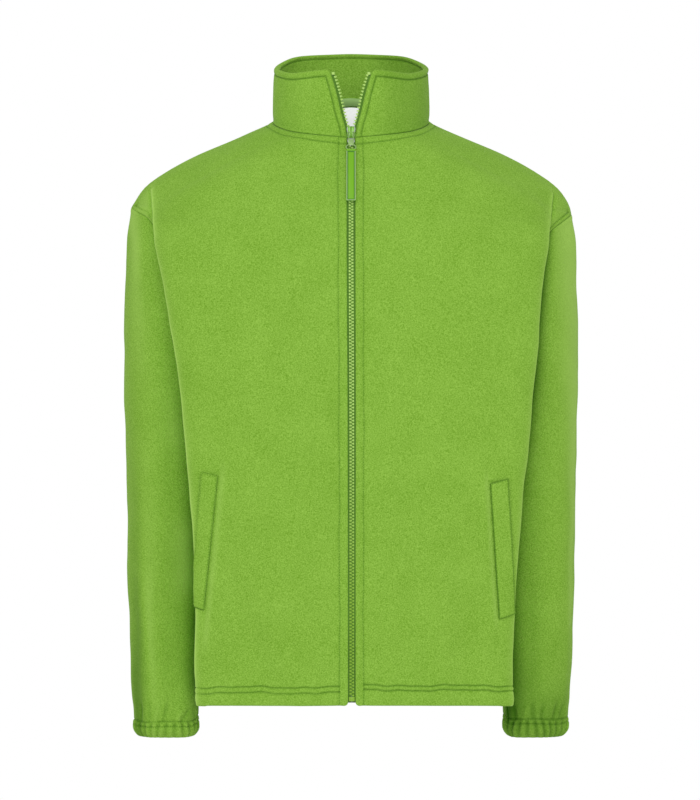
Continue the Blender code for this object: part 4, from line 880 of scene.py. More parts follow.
# Sleeves: sewn rows, seam, folds (z from and to, place round, half width, height) and the larger puckers.
puckNames = "k z half reach height lean"
sleeve = {
    "cuffRows": {"left": (-707.5, -713.3), "right": (-710.5, -716.5)},
    "seamAt": {"left": 11.3, "right": 13.2},
    "folds": {
        "left": ((-620, -260, 10.4, 1.7, 4.2), (-560, -420, 4.2, 1.3, 2.2),
                 (-660, -560, 8.5, 1.2, -1.8), (-640, -520, 11.0, 1.0, 1.4),
                 (-690, -600, 3.0, 0.9, 1.2)),
        "right": ((-620, -300, 10.4, 1.7, 4.6), (-710, -590, 4.4, 1.0, 2.6),
                  (-640, -500, 3.0, 1.3, -1.6), (-470, -400, 9.5, 1.4, 1.4),
                  (-690, -620, 8.0, 1.1, -1.2))},
    "puckers": {
        "left": columns(puckNames, (
            (10.2, -699, 0.30, 11, -1.8, 0.2), (8.6, -700, 0.28, 9, 1.2, -0.2),
            (7.7, -699, 0.26, 12, -1.8, 0.1), (6.4, -700, 0.26, 12, -1.6, -0.1),
            (4.4, -698, 0.28, 12, -1.8, -0.3), (3.3, -699, 0.24, 10, -1.5, -0.3),
            (2.2, -701, 0.24, 9, 1.2, 0.0), (16, -698, 0.35, 13, -1.6, 0.1),
            (19, -700, 0.3, 11, -1.6, 0.2), (22, -697, 0.35, 13, -1.8, -0.2),
            (25, -699, 0.3, 10, -1.4, 0.1))),
        "right": columns(puckNames, (
            (3.5, -700, 0.24, 13, -1.8, 0.2), (5.0, -700, 0.24, 15, -1.7, 0.2),
            (6.1, -698, 0.26, 14, 1.4, 0.4), (7.1, -701, 0.26, 15, -1.9, 0.5),
            (9.9, -703, 0.28, 8, -1.8, 0.6), (9.0, -704, 0.3, 8, 1.4, 0.3),
            (12.2, -703, 0.3, 9, 1.2, -0.4), (17, -699, 0.35, 12, -1.6, 0.2),
            (20, -700, 0.3, 13, -1.6, -0.1),
            (23, -698, 0.35, 11, -1.8, 0.2), (26, -700, 0.3, 12, -1.4, -0.2)))},
}


def gatherWave(k, z):                  # uneven gathers round the sleeve end
    share = k / (2 * halfRing)
    lean = 0.012 * (z + 718) / 14
    a = 2 * math.pi * (share + lean * np.sin(2 * math.pi * 3 * share + 0.6))
    uneven = 0.35 * np.sin(5 * a + 1.1) + 0.25 * np.sin(3 * a + 2.3)
    wave = np.cos(25 * a + 1.8 * uneven)                 # broad ridges, narrow valleys
    return (1.3 * np.sqrt(0.5 + 0.5 * wave + 0.01) - 0.8) * (0.8 + 0.3 * uneven)


def turnFrom(k, place):                # places round the sleeve from one of them
    return (k - place + halfRing) % (2 * halfRing) - halfRing


def cuffWave(k, side):                 # the sewn rows rise towards the underarm
    rise = {"left": 3.2, "right": 5.0}[side]
    return rise * hump(turnFrom(k, halfRing), 0, 2.2) + 0.6 * np.sin(k * 0.9 + 1)


besideBodyPaintedLight = {                         # painted shade on a sleeve beside the body: crack, its width, and a painted highlight (lift) next to it
    "right": columns("z crack wide lift", (
        (-731, 0.25, 9, 0), (-700, 0.55, 9, 0), (-662, 0.80, 8, 0), (-620, 0.18, 14, 0),
        (-578, 0.45, 10, 0), (-536, 0.65, 3.2, 0.5), (-494, 0.75, 2.4, 0.45), (-452, 0.70, 3.8, 0),
        (-410, 0.45, 3, 0), (-368, 0, 3, 0.25), (-326, 0, 3, 0.12), (-284, 0, 3, 0),
        (-242, 0.15, 2.5, 0), (-200, 0.1, 12, 0), (-120, 0.08, 12, 0))),
    "left": columns("z crack wide lift", (
        (-731, 0.45, 17, 0), (-700, 0.80, 17, 0), (-662, 1, 15, 0), (-620, 1, 10, 0),
        (-578, 1, 6.5, 0), (-536, 1, 4.8, 0), (-494, 1, 4.4, 0), (-452, 1, 4.3, 0),
        (-410, 1, 4.4, 0), (-368, 1, 5.4, 0), (-326, 1.05, 7.2, 0), (-242, 1.05, 6.6, 0),
        (-200, 1.05, 7, 0), (-158, 1, 5.4, 0), (-120, 0.8, 3.2, 0))),
}


def besideBody(side, grid):            # painted shade in the crack between sleeve and body, where the body's fold shadows the sleeve
    x, z = grid[..., 0] * sign[side], grid[..., 2]
    upTo = slice(0, 14)                # the levels of the front up to its shoulder
    heights, folds = frontForm["foldZ"][upTo], frontForm["fold" + side.capitalize()][upTo]
    edge = through(heights, folds, np.clip(z, heights[0], heights[-1]))
    crack, wide, lift = (readWithin(besideBodyPaintedLight[side], key, z) for key in ("crack", "wide", "lift"))
    tone = crack * np.exp(-np.clip((x - edge - 1) / wide, 0, 9) ** 1.3)
    tone -= lift * hump(x - edge, 12, 14)
    return tone * fall(grid[..., 1], 20, 20)


sleevePaintedLightForm = {                           # slow bands of painted highlight (pale) and painted shade (deep) down the front of each sleeve, for the light on its soft folds
    "right": columns("z pale paleX paleWide deep deepX deepWide", (
        (-700, 0.10, 236, 5, 0.60, 258, 12), (-662, 0.20, 236, 5, 0.55, 257, 14),
        (-614, 0.30, 239, 5, 0.42, 256, 12), (-566, 0.30, 241, 6, 0.32, 257, 10),
        (-518, 0.15, 239, 9, 0.20, 258, 10), (-422, 0.05, 243, 10, 0.12, 260, 10),
        (-326, 0.0, 246, 10, 0.03, 262, 12), (-278, 0.10, 249, 10, 0.0, 262, 12),
        (-242, 0.18, 252, 10, 0.0, 262, 12), (-206, 0.27, 255, 8, 0.0, 262, 12),
        (-176, 0.40, 256, 7, 0.0, 262, 12), (-146, 0.50, 256, 7, 0.0, 262, 12),
        (-116, 0.55, 261, 9, 0.0, 262, 12))),
    "left": columns("z pale paleX paleWide deep deepX deepWide", (
        (-700, 0.0, 260, 4, 0.42, 245, 40), (-662, 0.0, 260, 4, 0.16, 245, 40),
        (-614, 0.05, 261, 4, 0.07, 245, 40), (-566, 0.35, 262, 4, 0.02, 245, 40),
        (-518, 0.35, 263, 5, 0.0, 245, 40), (-470, 0.40, 265, 5, 0.0, 245, 40),
        (-422, 0.45, 266, 8, 0.0, 245, 40), (-374, 0.50, 267, 10, 0.0, 245, 40),
        (-326, 0.50, 268, 14, 0.0, 245, 40), (-242, 0.50, 268, 18, 0.0, 245, 40),
        (-176, 0.55, 267, 22, 0.0, 245, 40), (-116, 0.60, 263, 22, 0.0, 245, 40))),
}


# Painted highlight and painted shade of the sleeve's soft folds, as a tone.
def paintedSleeveBands(side, grid):
    x, z = grid[..., 0] * sign[side], grid[..., 2]
    form = {key: readWithin(sleevePaintedLightForm[side], key, z) for key in sleevePaintedLightForm[side] if key != "z"}
    tone = form["deep"] * hump(x, form["deepX"], form["deepWide"])
    tone -= form["pale"] * hump(x, form["paleX"], form["paleWide"])
    return tone * fall(grid[..., 1], 20, 20)


for side in sign:
    name = "sleeve_" + side
    grid, n = faces[name], normals[name]
    z, k = grid[..., 2], ringPlaces[None, :]
    endRun = z - sleeveEndZ
    out = wander(grid, side)
    for low, high, place, wide, height in sleeve["folds"][side]:
        fade = hump(z, (low + high) / 2, high - low)
        out += height * fade * hump(turnFrom(k, place), 0, wide)
    puckers = 0 * z * k
    for place, midZ, wide, reach, height, lean in zip(*sleeve["puckers"][side].values()):
        off = turnFrom(k, place + lean * (z - midZ) / reach) / wide
        puckers += height * np.exp(-off**2) * np.exp(-((z - midZ) / reach) ** 4)
    out += puckers
    rowZ = [row + cuffWave(k, side) for row in sleeve["cuffRows"][side]]
    below = fall(z, rowZ[0], 3)
    amount = readWithin(gatherForm, "gather", z)
    out += amount * gatherWave(k, z) * (0.5 + 1.3 * below)
    # The tone: painted shade in the crack beside the body, the sleeve's painted bands, pale painted ridges on
    # puckers and gathers with painted shade in their valleys. The cuff rows and the seam are darker where
    # they press the pile, with painted shade in their grooves.
    pressAndPaintedLight = besideBody(side, grid) + paintedSleeveBands(side, grid)
    pressAndPaintedLight -= 0.10 * puckers + 0.34 * gatherWave(k, z) * below
    for row in rowZ:
        out += groove(z, row, 0.5, 1.1)
        pressAndPaintedLight += 0.28 * hump(z, row, 1.1)
    out -= 0.5 * hump(z, sum(rowZ) / 2, 9)
    out -= 7.0 * fall(z, -719, 12) ** 2
    seamPlace = halfRing + (sleeve["seamAt"][side] - halfRing) * fall(z, -340, 391)
    off = turnFrom(k, seamPlace) * 13.0
    out += groove(off, 0, 1.3, 1.1) + 0.8 * hump(off, 3.2, 2.0)
    pressAndPaintedLight += 0.4 * hump(off, 0, 1.2)
    ringRun = fromStart(grid, 0)
    out *= ramp(ringRun, 0, 9)
    out += 0.5 * hump(ringRun, 3.5, 2.0)
    wall = readWithin(gatherForm, "wall", z)
    rounding = np.minimum(roundEdge(ringRun, 1.1), roundEdge(endRun, 2.0))
    grid = grid + n * out[..., None]
    middle = pullApart(grid - n * wall[..., None] / 2, closed=True, ends=(0,))
    rows = len(sleeveRows)
    keep = sorted({*range(10), *range(10, rows - 40, 3), *range(rows - 40, rows, 2), *range(rows - 6, rows)})
    obj, outer = clothShell("cloth_" + name, middle, n, wall / 2 * rounding, fleeceCloth, closed=True,
                            flip=side == "right", innerRows=keep, pressAndPaintedLight=pressAndPaintedLight)
    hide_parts(name)
    for row in rowZ:
        rowsOfStitches[name].append([np.append(v, v[:1], 0) for v in lineOn(outer, n, z - row, 0.0)])

grid, n = faces["collar"], normals["collar"]
upRun, sideRun = fromStart(grid, 0), fromStart(grid, 1)
rimRun = upRun[-1:] - upRun
openRun = np.minimum(sideRun, sideRun[:, -1:] - sideRun)
behind = ramp(grid[..., 1], -20, 50)       # the row runs nearer to the fold round the back
foldRow = sewing["rimRow"] - 2.5 * smooth(behind)
rowRun = np.minimum(rimRun - foldRow, openRun - sewing["openRow"])
wall = 2.5 + (collar["wall"] - 2.5) * ramp(upRun, 0, 6)
puff = 1.0 * hump(rowRun, -4.2, 2.4) - 1.35 * hump(rowRun, 0, 0.85)
puff += 0.25 * np.sin(sideRun / 3.3 + 2 * np.sin(sideRun / 17)) * hump(rowRun, 1.5, 3)
thick = (wall / 2 + puff * ramp(upRun, 0, 5)) * np.minimum(
    roundEdge(upRun, 1.1), np.minimum(roundEdge(rimRun, 2.6), roundEdge(openRun, 2.3)))
out = wander(grid, "collar") * ramp(upRun, 0, 14)
out -= 0.7 * hump(upRun, 4, 4) * ramp(upRun, 0, 2)
middle = pullApart(grid - n * (wall / 2 - out)[..., None], ends=(0,), sides=(), endGap=body["neckGap"])
# The tone darkens the collar where its sewn row presses the pile, paints shade along the neck seam, and
# paints shade over the wearer's left side, away from the key light.
obj, outer = clothShell("cloth_collar", middle, n, thick, fleeceCloth, flip=True,
                        pressAndPaintedLight=0.45 * hump(rowRun, 0) * ramp(upRun, 0, 3) + 0.3 * hump(upRun, 0, 1.3)
                        + 0.17 * ramp(grid[..., 0], 20, 30))
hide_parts("collar")
lining = middle - n * thick[..., None]
for shown, outward in ((outer, n), (lining, -n)):
    clear = collar["rimRowEnds"]       # the rows stop where they would cross
    line = lineOn(shown, outward, rimRun - foldRow, 0.0)
    rowsOfStitches["collar"].append([v[clear:-clear] for v in line])
    for run in (sideRun, sideRun[:, -1:] - sideRun):
        line = lineOn(shown, outward, run, sewing["openRow"], across=True)
        rowsOfStitches["collar"].append([v[:-collar["openRowEnds"]] for v in line])
print("collar", len(obj.data.polygons), "faces")


def lerp(a, b, t):
    return a * (1 - t) + b * t


def weltLine(side, z, xInner):         # a level line of a front, from the pocket's inner edge outward
    grid, n = outers["front_" + side], normals["front_" + side]
    level = grid[:, grids["pocketColumn"], 2]
    k = float(np.interp(z, level[:armFirst], np.arange(armFirst)))
    i = int(k)
    line, directions = lerp(grid[i], grid[i + 1], k - i), lerp(n[i], n[i + 1], k - i)
    run, outward = runOf(line), line[:, 0] * sign[side]
    j = int(np.argmax(outward > xInner))
    first = run[j - 1] + (xInner - outward[j - 1]) / (outward[j] - outward[j - 1]) * (run[j] - run[j - 1])
    return line, directions, run - first


def bordered(edge, whole, count):      # places from one border to the other, fine near both
    edge = np.array(edge)
    return np.concatenate([edge, np.linspace(edge[-1], whole - edge[-1], count)[1:-1], whole - edge[::-1]])


weltEdge = [0, 0.12, 0.4, 0.8, 1.3, 1.9, 2.6, 3.4]
for side, w in welts.items():
    long = math.dist(w["top"], w["low"])
    down, wide = bordered(weltEdge, long, 56), bordered(weltEdge, w["width"], 10)
    rows, directions = [], []
    for d in down:
        row, away = [], []
        for s in wide:
            t = d / long
            z = lerp(w["top"][1], w["low"][1], t) + w["tilt"] * (s / w["width"] - 0.5)
            line, n, run = weltLine(side, z, lerp(w["top"][0], w["low"][0], t))
            row.append(pointsAt(s, run, line))
            away.append(pointsAt(s, run, n))
        rows.append(row)
        directions.append(away)
    under, n = np.array(rows), unit(np.array(directions))
    near = np.minimum(np.minimum(down, long - down)[:, None], np.minimum(wide, w["width"] - wide)[None, :])
    rounding = roundEdge(near, 0.9)
    lift = 1.25 + 0.25 * np.sin(down[:, None] / 5.1) * hump(near, 1.5, 2)
    lift = lift - 0.35 * hump(near, 1.3, 0.6)
    # Painted shade in the cracks round the welt's edges, as its tone.
    edges = {"inner": wide[None, :], "outer": (w["width"] - wide)[None, :],
             "top": down[:, None], "low": (long - down)[:, None]}
    weltEdgePaintedShade = np.maximum.reduce([w["edges"][key] * hump(away, 0, 1.1) + 0 * near
                                  for key, away in edges.items()])
    obj, outer = clothShell("cloth_welt_" + side, under + n * lift[..., None], n, 0.8 * rounding,
                            fleeceCloth, flip=side == "left", pressAndPaintedLight=weltEdgePaintedShade)
    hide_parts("pocket_welt_" + side)
    inset = 4
    within = slice(inset, -inset)
    rowsOfStitches["welt_" + side] = [(outer[part], n[part]) for part in (
        (within, inset), (within, -1 - inset), (inset, within), (-1 - inset, within))]
print("welts")


def plainFinish(name, colour, rough, metal=0.0, sheen=0.0, coat=0.0, shine=0.5):
    m, _, _ = material(name, {"Base Color": colour, "Roughness": rough, "Metallic": metal,
                              "Specular IOR Level": shine, "Sheen Weight": sheen, "Coat Weight": coat})
    return m


def paintedShadeBelow(m, deep, span):        # painted shade: the colour deepens down the piece, where the fronts' edges close over the chain
    tree = m.node_tree
    shader = tree.nodes["Principled BSDF"]
    colour = tuple(shader.inputs["Base Color"].default_value)[:3]
    height = addNode(tree, "SeparateXYZ", {"Vector": objectPlace(tree)}).outputs["Z"]
    share = addNode(tree, "MapRange", {"Value": height, "From Min": span[0], "From Max": span[1]})
    setSockets(tree, shader, {"Base Color": blend(tree, share.outputs["Result"], deep, colour)})
    return m


def woven(name, colour, fine, deep, glow=0.0):   # plain weave from two crossed waves; a glow paints light into the cloth
    m, tree, shader = material(name, {"Emission Color": colour, "Emission Strength": glow,
                                      "Roughness": 0.75, "Sheen Weight": 0.2})
    place = objectPlace(tree)
    waves = [addNode(tree, "TexWave", {"Scale": fine, "Distortion": 0.4, "Vector": place},
                     bands_direction=direction).outputs["Fac"] for direction in ("X", "Z")]
    weave = maths(tree, "MULTIPLY", *waves)
    cloth = blend(tree, weave, tuple(c * deep for c in colour), colour)
    setSockets(tree, shader, {"Base Color": cloth, "Normal": bumps(tree, 0.3, 0.0003, weave)})
    return m


finishes = {
    "thread": plainFinish("thread_green", (0.105, 0.275, 0.012), 0.7, sheen=0.05, shine=0.2),
    # The zip tape's deep green, darker than the fleece, is partly its own colour and partly painted shade
    # between the fleece edges and the chain.
    "zipTape": woven("zip_tape_green", (0.12, 0.31, 0.013), 420, 0.75),
    "binding": woven("binding_green", (0.52, 0.84, 0.27), 420, 0.8),
    # The label glows a little: painted light that keeps it white in the shade inside the collar.
    "label": woven("label_white", (0.95, 0.95, 0.96), 900, 0.97, glow=0.5),
    # The teeth are painted deeper lower down: painted shade where the fronts close over the chain.
    "teeth": paintedShadeBelow(plainFinish("teeth_green", (0.50, 0.77, 0.18), 0.42, shine=0.3),
                         (0.29, 0.53, 0.045), (-0.56, -0.34)),
    "slider": plainFinish("slider_green", (0.19, 0.45, 0.03), 0.3, metal=0.25, coat=0.4),
    "puller": plainFinish("puller_metal", (0.34, 0.52, 0.19), 0.4, metal=0.55),
    # The tab's green comes in lit and shaded copies: a painted highlight for the raised border and painted
    # shade for the trough.
    "tab": plainFinish("tab_green", (0.20, 0.52, 0.012), 0.38, coat=0.1, shine=0.3),
    "tabPaintedShade": plainFinish("tab_painted_shade", (0.07, 0.27, 0.005), 0.4, coat=0.1, shine=0.3),
    "tabPaintedHighlight": plainFinish("tab_painted_highlight", (0.50, 0.70, 0.34), 0.35, coat=0.2),
}


# One thread stitch and one tooth are modelled in millimetres and copied along their lines.
def shapeOf(obj):
    points = np.array([list(v.co) for v in obj.data.vertices])
    polygons = [list(p.vertices) for p in obj.data.polygons]
    bpy.data.objects.remove(obj)
    return points, polygons


def copies(shape, centres, axes):      # axes: for each copy its three directions
    points, polygons = shape
    every = np.einsum("vk,nka->nva", points, axes) + centres[:, None]
    count = len(points)
    allFaces = [[i + n * count for i in face] for n in range(len(centres)) for face in polygons]
    return every.reshape(-1, 3), allFaces


def stitchShape():
    bpy.ops.mesh.primitive_uv_sphere_add(segments=6, ring_count=6, radius=1, rotation=(0, math.pi / 2, 0))
    obj = bpy.context.object
    bpy.ops.object.transform_apply(location=False, rotation=True, scale=False)
    points, polygons = shapeOf(obj)
    x = points[:, 0].copy()
    points[:, 0] = np.sign(x) * np.abs(x) ** 0.7 * sewing["pitch"] * sewing["share"] / 2
    points[:, 1:] *= sewing["thread"]
    points[:, 2] -= 0.45 * abs(x) ** 3
    return points, polygons


stitch = stitchShape()
threads = 0
for name, rows in rowsOfStitches.items():
    centres, axes = [], []
    for points, directions in rows:
        run = runOf(points)
        places = np.arange(sewing["pitch"] / 2, run[-1], sewing["pitch"])
        at, out = pointsAt(places, run, points), unit(pointsAt(places, run, directions))
        ahead, behind = (pointsAt(places + way * sewing["near"], run, points) for way in (1, -1))
        along = unit(ahead - behind)
        out = unit(out - along * (out * along).sum(-1, keepdims=True))
        centres.append(at - out * sewing["sunk"])
        axes.append(np.stack([along, np.cross(out, along), out], axis=1))
    points, polygons = copies(stitch, np.concatenate(centres), np.concatenate(axes))
    makeMesh("stitches_" + name, points, polygons, finishes["thread"], "jacket")
    threads += len(polygons)
print("stitches", threads, "faces")

closure = {
    "pitch": 3.8, "low": -669.0, "high": -22.0, "depth": 3.65, "tapeNear": 4.0, "tapeFar": 14.0,
    "tapeMeet": 0.08, "tapeWall": 0.9, "collarLow": -3.6, "collarHigh": 54.5, "tapeLow": -677.5,
    "tapeSplit": -21.5, "underSlider": -20.2, "tapeTop": 56,
}


def chainAt(z):                        # middle of the closed chain and its outward direction
    z = np.asarray(z, float)

    def outerY(v):
        return through(frontForm["centreZ"], frontForm["centreY"], v)

    slope = np.where(z < -18.5, outerY(z + 0.5) - outerY(z - 0.5), 0.0)
    inward = unit(np.stack([0 * z, 1 + 0 * z, -slope], axis=-1))
    middle = np.stack([driftAt(z), outerY(z), z], axis=-1) + inward * closure["depth"]
    return middle, -inward


def upOpening(z):                      # share of the way up the collar's opening
    low = frontForm["centreZ"][-1]
    return (z - low) / (collar["front"][2] - low)


def openingEdge(z):                    # fleece edge of the opening
    return read(collarForm, "edge", upOpening(z))


def openingMiddle(z):
    low = frontForm["centreY"][-1]
    return low + (collar["front"][1] - low) * upOpening(z) + collar["wall"] / 2


def toothShape():                      # a block that holds the tape, with a narrower head towards the middle
    bpy.ops.mesh.primitive_cube_add(size=1, location=(2.0, 0, 0))
    obj = bpy.context.object
    obj.scale = (1.5, 2.5, 2.6)
    bpy.ops.object.transform_apply(location=True, rotation=False, scale=True)
    for face in obj.data.polygons:
        face.select = face.normal.x < -0.9
    bpy.ops.object.mode_set(mode="EDIT")
    bpy.ops.mesh.select_mode(type="FACE")
    bpy.ops.mesh.extrude_region_move(TRANSFORM_OT_translate={"value": (-0.45, 0, 0)})
    bpy.ops.transform.resize(value=(1, 0.5, 0.8), center_override=(0.8, 0, 0))
    bpy.ops.mesh.extrude_region_move(TRANSFORM_OT_translate={"value": (-1.1, 0, 0)})
    bpy.ops.transform.resize(value=(1, 1.2, 0.9), center_override=(-0.3, 0, 0))
    bpy.ops.object.mode_set(mode="OBJECT")
    soften(obj, 0.28, 2)
    return shapeOf(obj)


def soften(obj, width, segments=2):    # bevelled edges
    bevel = obj.modifiers.new("soft_edges", "BEVEL")
    bevel.width, bevel.segments, bevel.limit_method = width, segments, "ANGLE"
    bpy.context.view_layer.objects.active = obj
    bpy.ops.object.modifier_apply(modifier=bevel.name)


tooth = toothShape()
fine = np.linspace(closure["low"], closure["high"], 300)
lengths = runOf(chainAt(fine)[0])
heights = np.interp(np.arange(0, lengths[-1], closure["pitch"] / 2), lengths, fine)
middle, outward = chainAt(heights)
upward = unit(np.gradient(middle, axis=0))
across = np.where(np.arange(len(heights)) % 2 == 0, 1.0, -1.0)[:, None] * np.array([1.0, 0, 0])
points, polygons = copies(tooth, middle, np.stack([across, upward, outward], axis=1))
flipped = [face[::-1] if (i // len(tooth[1])) % 2 else face for i, face in enumerate(polygons)]
obj = makeMesh("chain_teeth", points, flipped, finishes["teeth"], "jacket")
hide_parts("zip_chain")
print("closed teeth", len(heights), len(polygons), "faces")

for side in sign:
    z = np.arange(closure["collarLow"], closure["collarHigh"], closure["pitch"])
    z = z + (closure["pitch"] / 2 if side == "left" else 0)
    edge = openingEdge(z)
    middle = np.stack([(edge - 5.35) * sign[side], openingMiddle(z), z], axis=-1)
    upward = unit(np.gradient(middle, axis=0))
    outward = np.array([[0, -1.0, 0]] * len(z))
    across = np.cross(upward, outward) if side == "left" else np.cross(outward, upward)
    across *= np.sign(across[:, :1]) * sign[side]
    points, polygons = copies(tooth, middle, np.stack([across, upward, outward], axis=1))
    if side == "right":
        polygons = [face[::-1] for face in polygons]
    obj = makeMesh("open_teeth_" + side, points, polygons, finishes["teeth"], "jacket")
    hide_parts("zip_teeth_" + side)

    rows = np.linspace(closure["tapeLow"], closure["tapeSplit"], 110)
    middle, outward = chainAt(rows)
    apart = ramp(rows, -32, 9)[:, None]      # the tapes part as they reach the slider
    spans = np.array([[closure["tapeMeet"], closure["tapeFar"]]]) * (1 - apart)
    spans = list(spans + np.array([[closure["tapeNear"], closure["tapeFar"]]]) * apart)
    middle, outward = list(middle), list(outward)
    above = [(closure["underSlider"], closure["tapeNear"], 5.0)]
    for z in np.concatenate([[-14.0, -8.4], np.linspace(-3, closure["tapeTop"], 22)]):
        edge = float(openingEdge(z))
        above.append((z, max(closure["tapeNear"], edge - 1.5) if z < -5 else edge - 3.6, edge + 0.3))
    for z, near, far in above:
        middle.append(np.array([0, openingMiddle(z), z]))
        outward.append(np.array([0, -1.0, 0]))
        spans.append((near, far))
    shares = np.array([0, 0.02, 0.06, 0.14, 0.3, 0.5, 0.7, 0.86, 0.94, 0.98, 1])
    spans = np.array(spans)
    across = (spans[:, :1] + (spans[:, 1:] - spans[:, :1]) * shares) * sign[side]
    grid = np.repeat(np.array(middle)[:, None], len(shares), axis=1)
    grid[..., 0] += across
    n = np.repeat(unit(np.array(outward))[:, None], len(shares), axis=1)
    half = closure["tapeWall"] / 2 * roundBorders(grid, 0.4)
    obj, _ = clothShell("tape_" + side, grid, n, half, finishes["zipTape"],
                        flip=side == "right")
    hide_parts("zip_tape_" + side)
    wide = (closure["tapeFar"] - closure["tapeMeet"]) * mm
print("zip tapes and open teeth")


def box(low, high, bevel=0.3):         # a block between two corners, edges softened
    low, high = np.array(low, float), np.array(high, float)
    bpy.ops.mesh.primitive_cube_add(size=1, location=tuple((low + high) / 2))
    obj = bpy.context.object
    obj.scale = tuple(high - low)
    bpy.ops.object.transform_apply(location=True, rotation=False, scale=True)
    if bevel:
        soften(obj, bevel)
    return obj


def selectOnly(parts):                 # the first part is the active one
    bpy.ops.object.select_all(action="DESELECT")
    for part in parts:
        part.select_set(True)
    bpy.context.view_layer.objects.active = parts[0]


def taper(obj, axis, share, top=True):     # the top or bottom face made narrower
    selectOnly([obj])
    for face in obj.data.polygons:
        face.select = face.normal.z > 0.9 if top else face.normal.z < -0.9
    bpy.ops.object.mode_set(mode="EDIT")
    factor = tuple(share if name == axis else 1 for name in "xyz")
    bpy.ops.transform.resize(value=factor)
    bpy.ops.object.mode_set(mode="OBJECT")
    return obj


def finished(parts, name, finish, body_, slotName, node=None, turn=(0, 0, 0), place=(0, 0, 0)):
    # Parts joined, placed in millimetres, then made in metres.
    selectOnly(parts)
    if len(parts) > 1:
        bpy.ops.object.join()
    obj = bpy.context.object
    obj.name = obj.data.name = name
    obj.rotation_euler = turn
    obj.location = tuple(v * mm for v in place)
    obj.scale = (mm, mm, mm)
    bpy.ops.object.transform_apply(location=True, rotation=True, scale=True)
    bpy.ops.object.shade_smooth_by_angle(angle=math.radians(40))
    if len(obj.data.materials) < 2:
        obj.data.materials.clear()
        obj.data.materials.append(finish)
    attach(obj, body_)
    if node:
        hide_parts(node)
    return obj


def curveMesh(points, name, closed, **shape):   # a mesh swept along a line of points
    curve = bpy.data.curves.new(name, "CURVE")
    curve.dimensions = "3D"
    for key, value in shape.items():
        setattr(curve, key, value)
    line = curve.splines.new("POLY")
    line.points.add(len(points) - 1)
    line.use_cyclic_u = closed
    for point, at in zip(line.points, points):
        point.co = (*at, 1)
    obj = bpy.data.objects.new(name, curve)
    scene.collection.objects.link(obj)
    selectOnly([obj])
    bpy.ops.object.convert(target="MESH")
    return bpy.context.object


def tube(points, radius, name, closed=False, flat=1.0):   # a bent round bar
    obj = curveMesh(points, name, closed, bevel_depth=radius, bevel_resolution=2, use_fill_caps=not closed)
    obj.scale = (flat, 1, 1)
    bpy.ops.object.transform_apply(location=False, rotation=False, scale=True)
    return obj


slider = {"y": -77.6, "top": -5.0, "tall": 14.0, "half": 5.0, "plate": 1.4, "gap": 4.0,
          "hingeY": -82.9, "hingeZ": -11.5, "tilt": 21.0, "bridge": 2.2}


def sliderParts():
    y, top, low = slider["y"], slider["top"], slider["top"] - slider["tall"]
    front, rear = y - slider["gap"] / 2, y + slider["gap"] / 2
    half, plate = slider["half"], slider["plate"]
    crest = slider["hingeY"] - slider["bridge"]
    parts = []
    for near, far in ((front - plate, front), (rear, rear + plate)):
        wide = taper(box((-half, near, low), (half, far, top), bevel=0), "x", 0.82, top=False)
        soften(wide, 0.5, 3)
        parts.append(wide)
    for way in (-1, 1):                # flanges that hold the teeth in
        x = way * half * 0.92
        parts.append(box((x - 0.4, front, low + 0.6), (x + 0.4, front + 1.1, -12), 0.2))
    parts.append(box((-1.1, front - plate, top - 3.9), (1.1, rear + plate, top - 0.1), 0.3))
    arch = [(0, front - 0.4, top - 1.6), (0, front - plate - 0.4, top - 1.5), (0, crest + 2.2, top - 1.5),
            (0, crest + 1.0, top - 2.0), (0, crest + 0.55, top - 3.4), (0, crest + 0.5, (top + low) / 2),
            (0, crest + 0.55, low + 3.4), (0, crest + 1.0, low + 2.0), (0, crest + 2.2, low + 1.5),
            (0, front - plate - 0.4, low + 1.5), (0, front - 0.4, low + 1.6)]
    parts.append(tube(arch, 0.55, "bridge", flat=2.0))
    return parts


finished(sliderParts(), "slider_body", finishes["slider"], "jacket", "zip_slider", "zip_slider")
boxX, boxY, _ = chainAt(-674.5)[0]
pin = [box((-3.5, -2, -5.1), (3.5, 2, 0), 0.5), box((-1.6, -2.25, -4.2), (1.6, -1.8, -0.8), 0.2)]
finished(pin, "bottom_box", finishes["teeth"], "jacket", "zip_box", "zip_box",
         place=(boxX, boxY, -670.4))
for side in sign:
    z = closure["tapeTop"] + 1
    stop = box((-1.8, -1.5, -1.6), (1.8, 1.5, 1.6), 0.5)
    finished([stop], "top_stop_" + side, finishes["teeth"], "jacket", "zip_teeth_" + side,
             place=((float(openingEdge(z)) - 2.4) * sign[side], openingMiddle(z), z))

hang = {"turn": (-math.radians(slider["tilt"]), 0, 0), "place": (0, slider["hingeY"], slider["hingeZ"])}


puller = {"half": 3.0, "bar": 0.6, "sides": ((3.0, 0.2), (3.0, -4), (3.1, -8), (3.3, -11)), "narrow": 0.72,
          "plate": (4.8, 0.6, -16.2, -9.8), "ring": (5.6, 3.45, -20.2), "ringBar": 0.8}


def pullerParts():
    parts = [tube([(-puller["half"], 0, 0), (puller["half"], 0, 0)], puller["bar"], "crossbar")]
    for way in (-1, 1):
        parts.append(tube([(way * x, 0, z) for x, z in puller["sides"]], puller["bar"], "side_bar"))
    half, thick, low, top = puller["plate"]
    plate = taper(box((-half, -thick, low), (half, thick, top), bevel=0), "x", puller["narrow"])
    soften(plate, 0.45, 3)
    parts.append(plate)
    across, tall, z = puller["ring"]
    turns = np.linspace(0, 2 * math.pi, 40, endpoint=False)
    ring = [(across * math.cos(a), 0, z + tall * math.sin(a)) for a in turns]
    parts.append(tube(ring, puller["ringBar"], "ring", closed=True))
    return parts


tab = {"bar": -23.95, "end": -88.7, "half": 5.2, "thick": 0.8, "wrap": 1.15, "edge": 0.35,
       "border": 0.7, "sunk": 0.35, "trough": 1.4, "raised": 0.25}


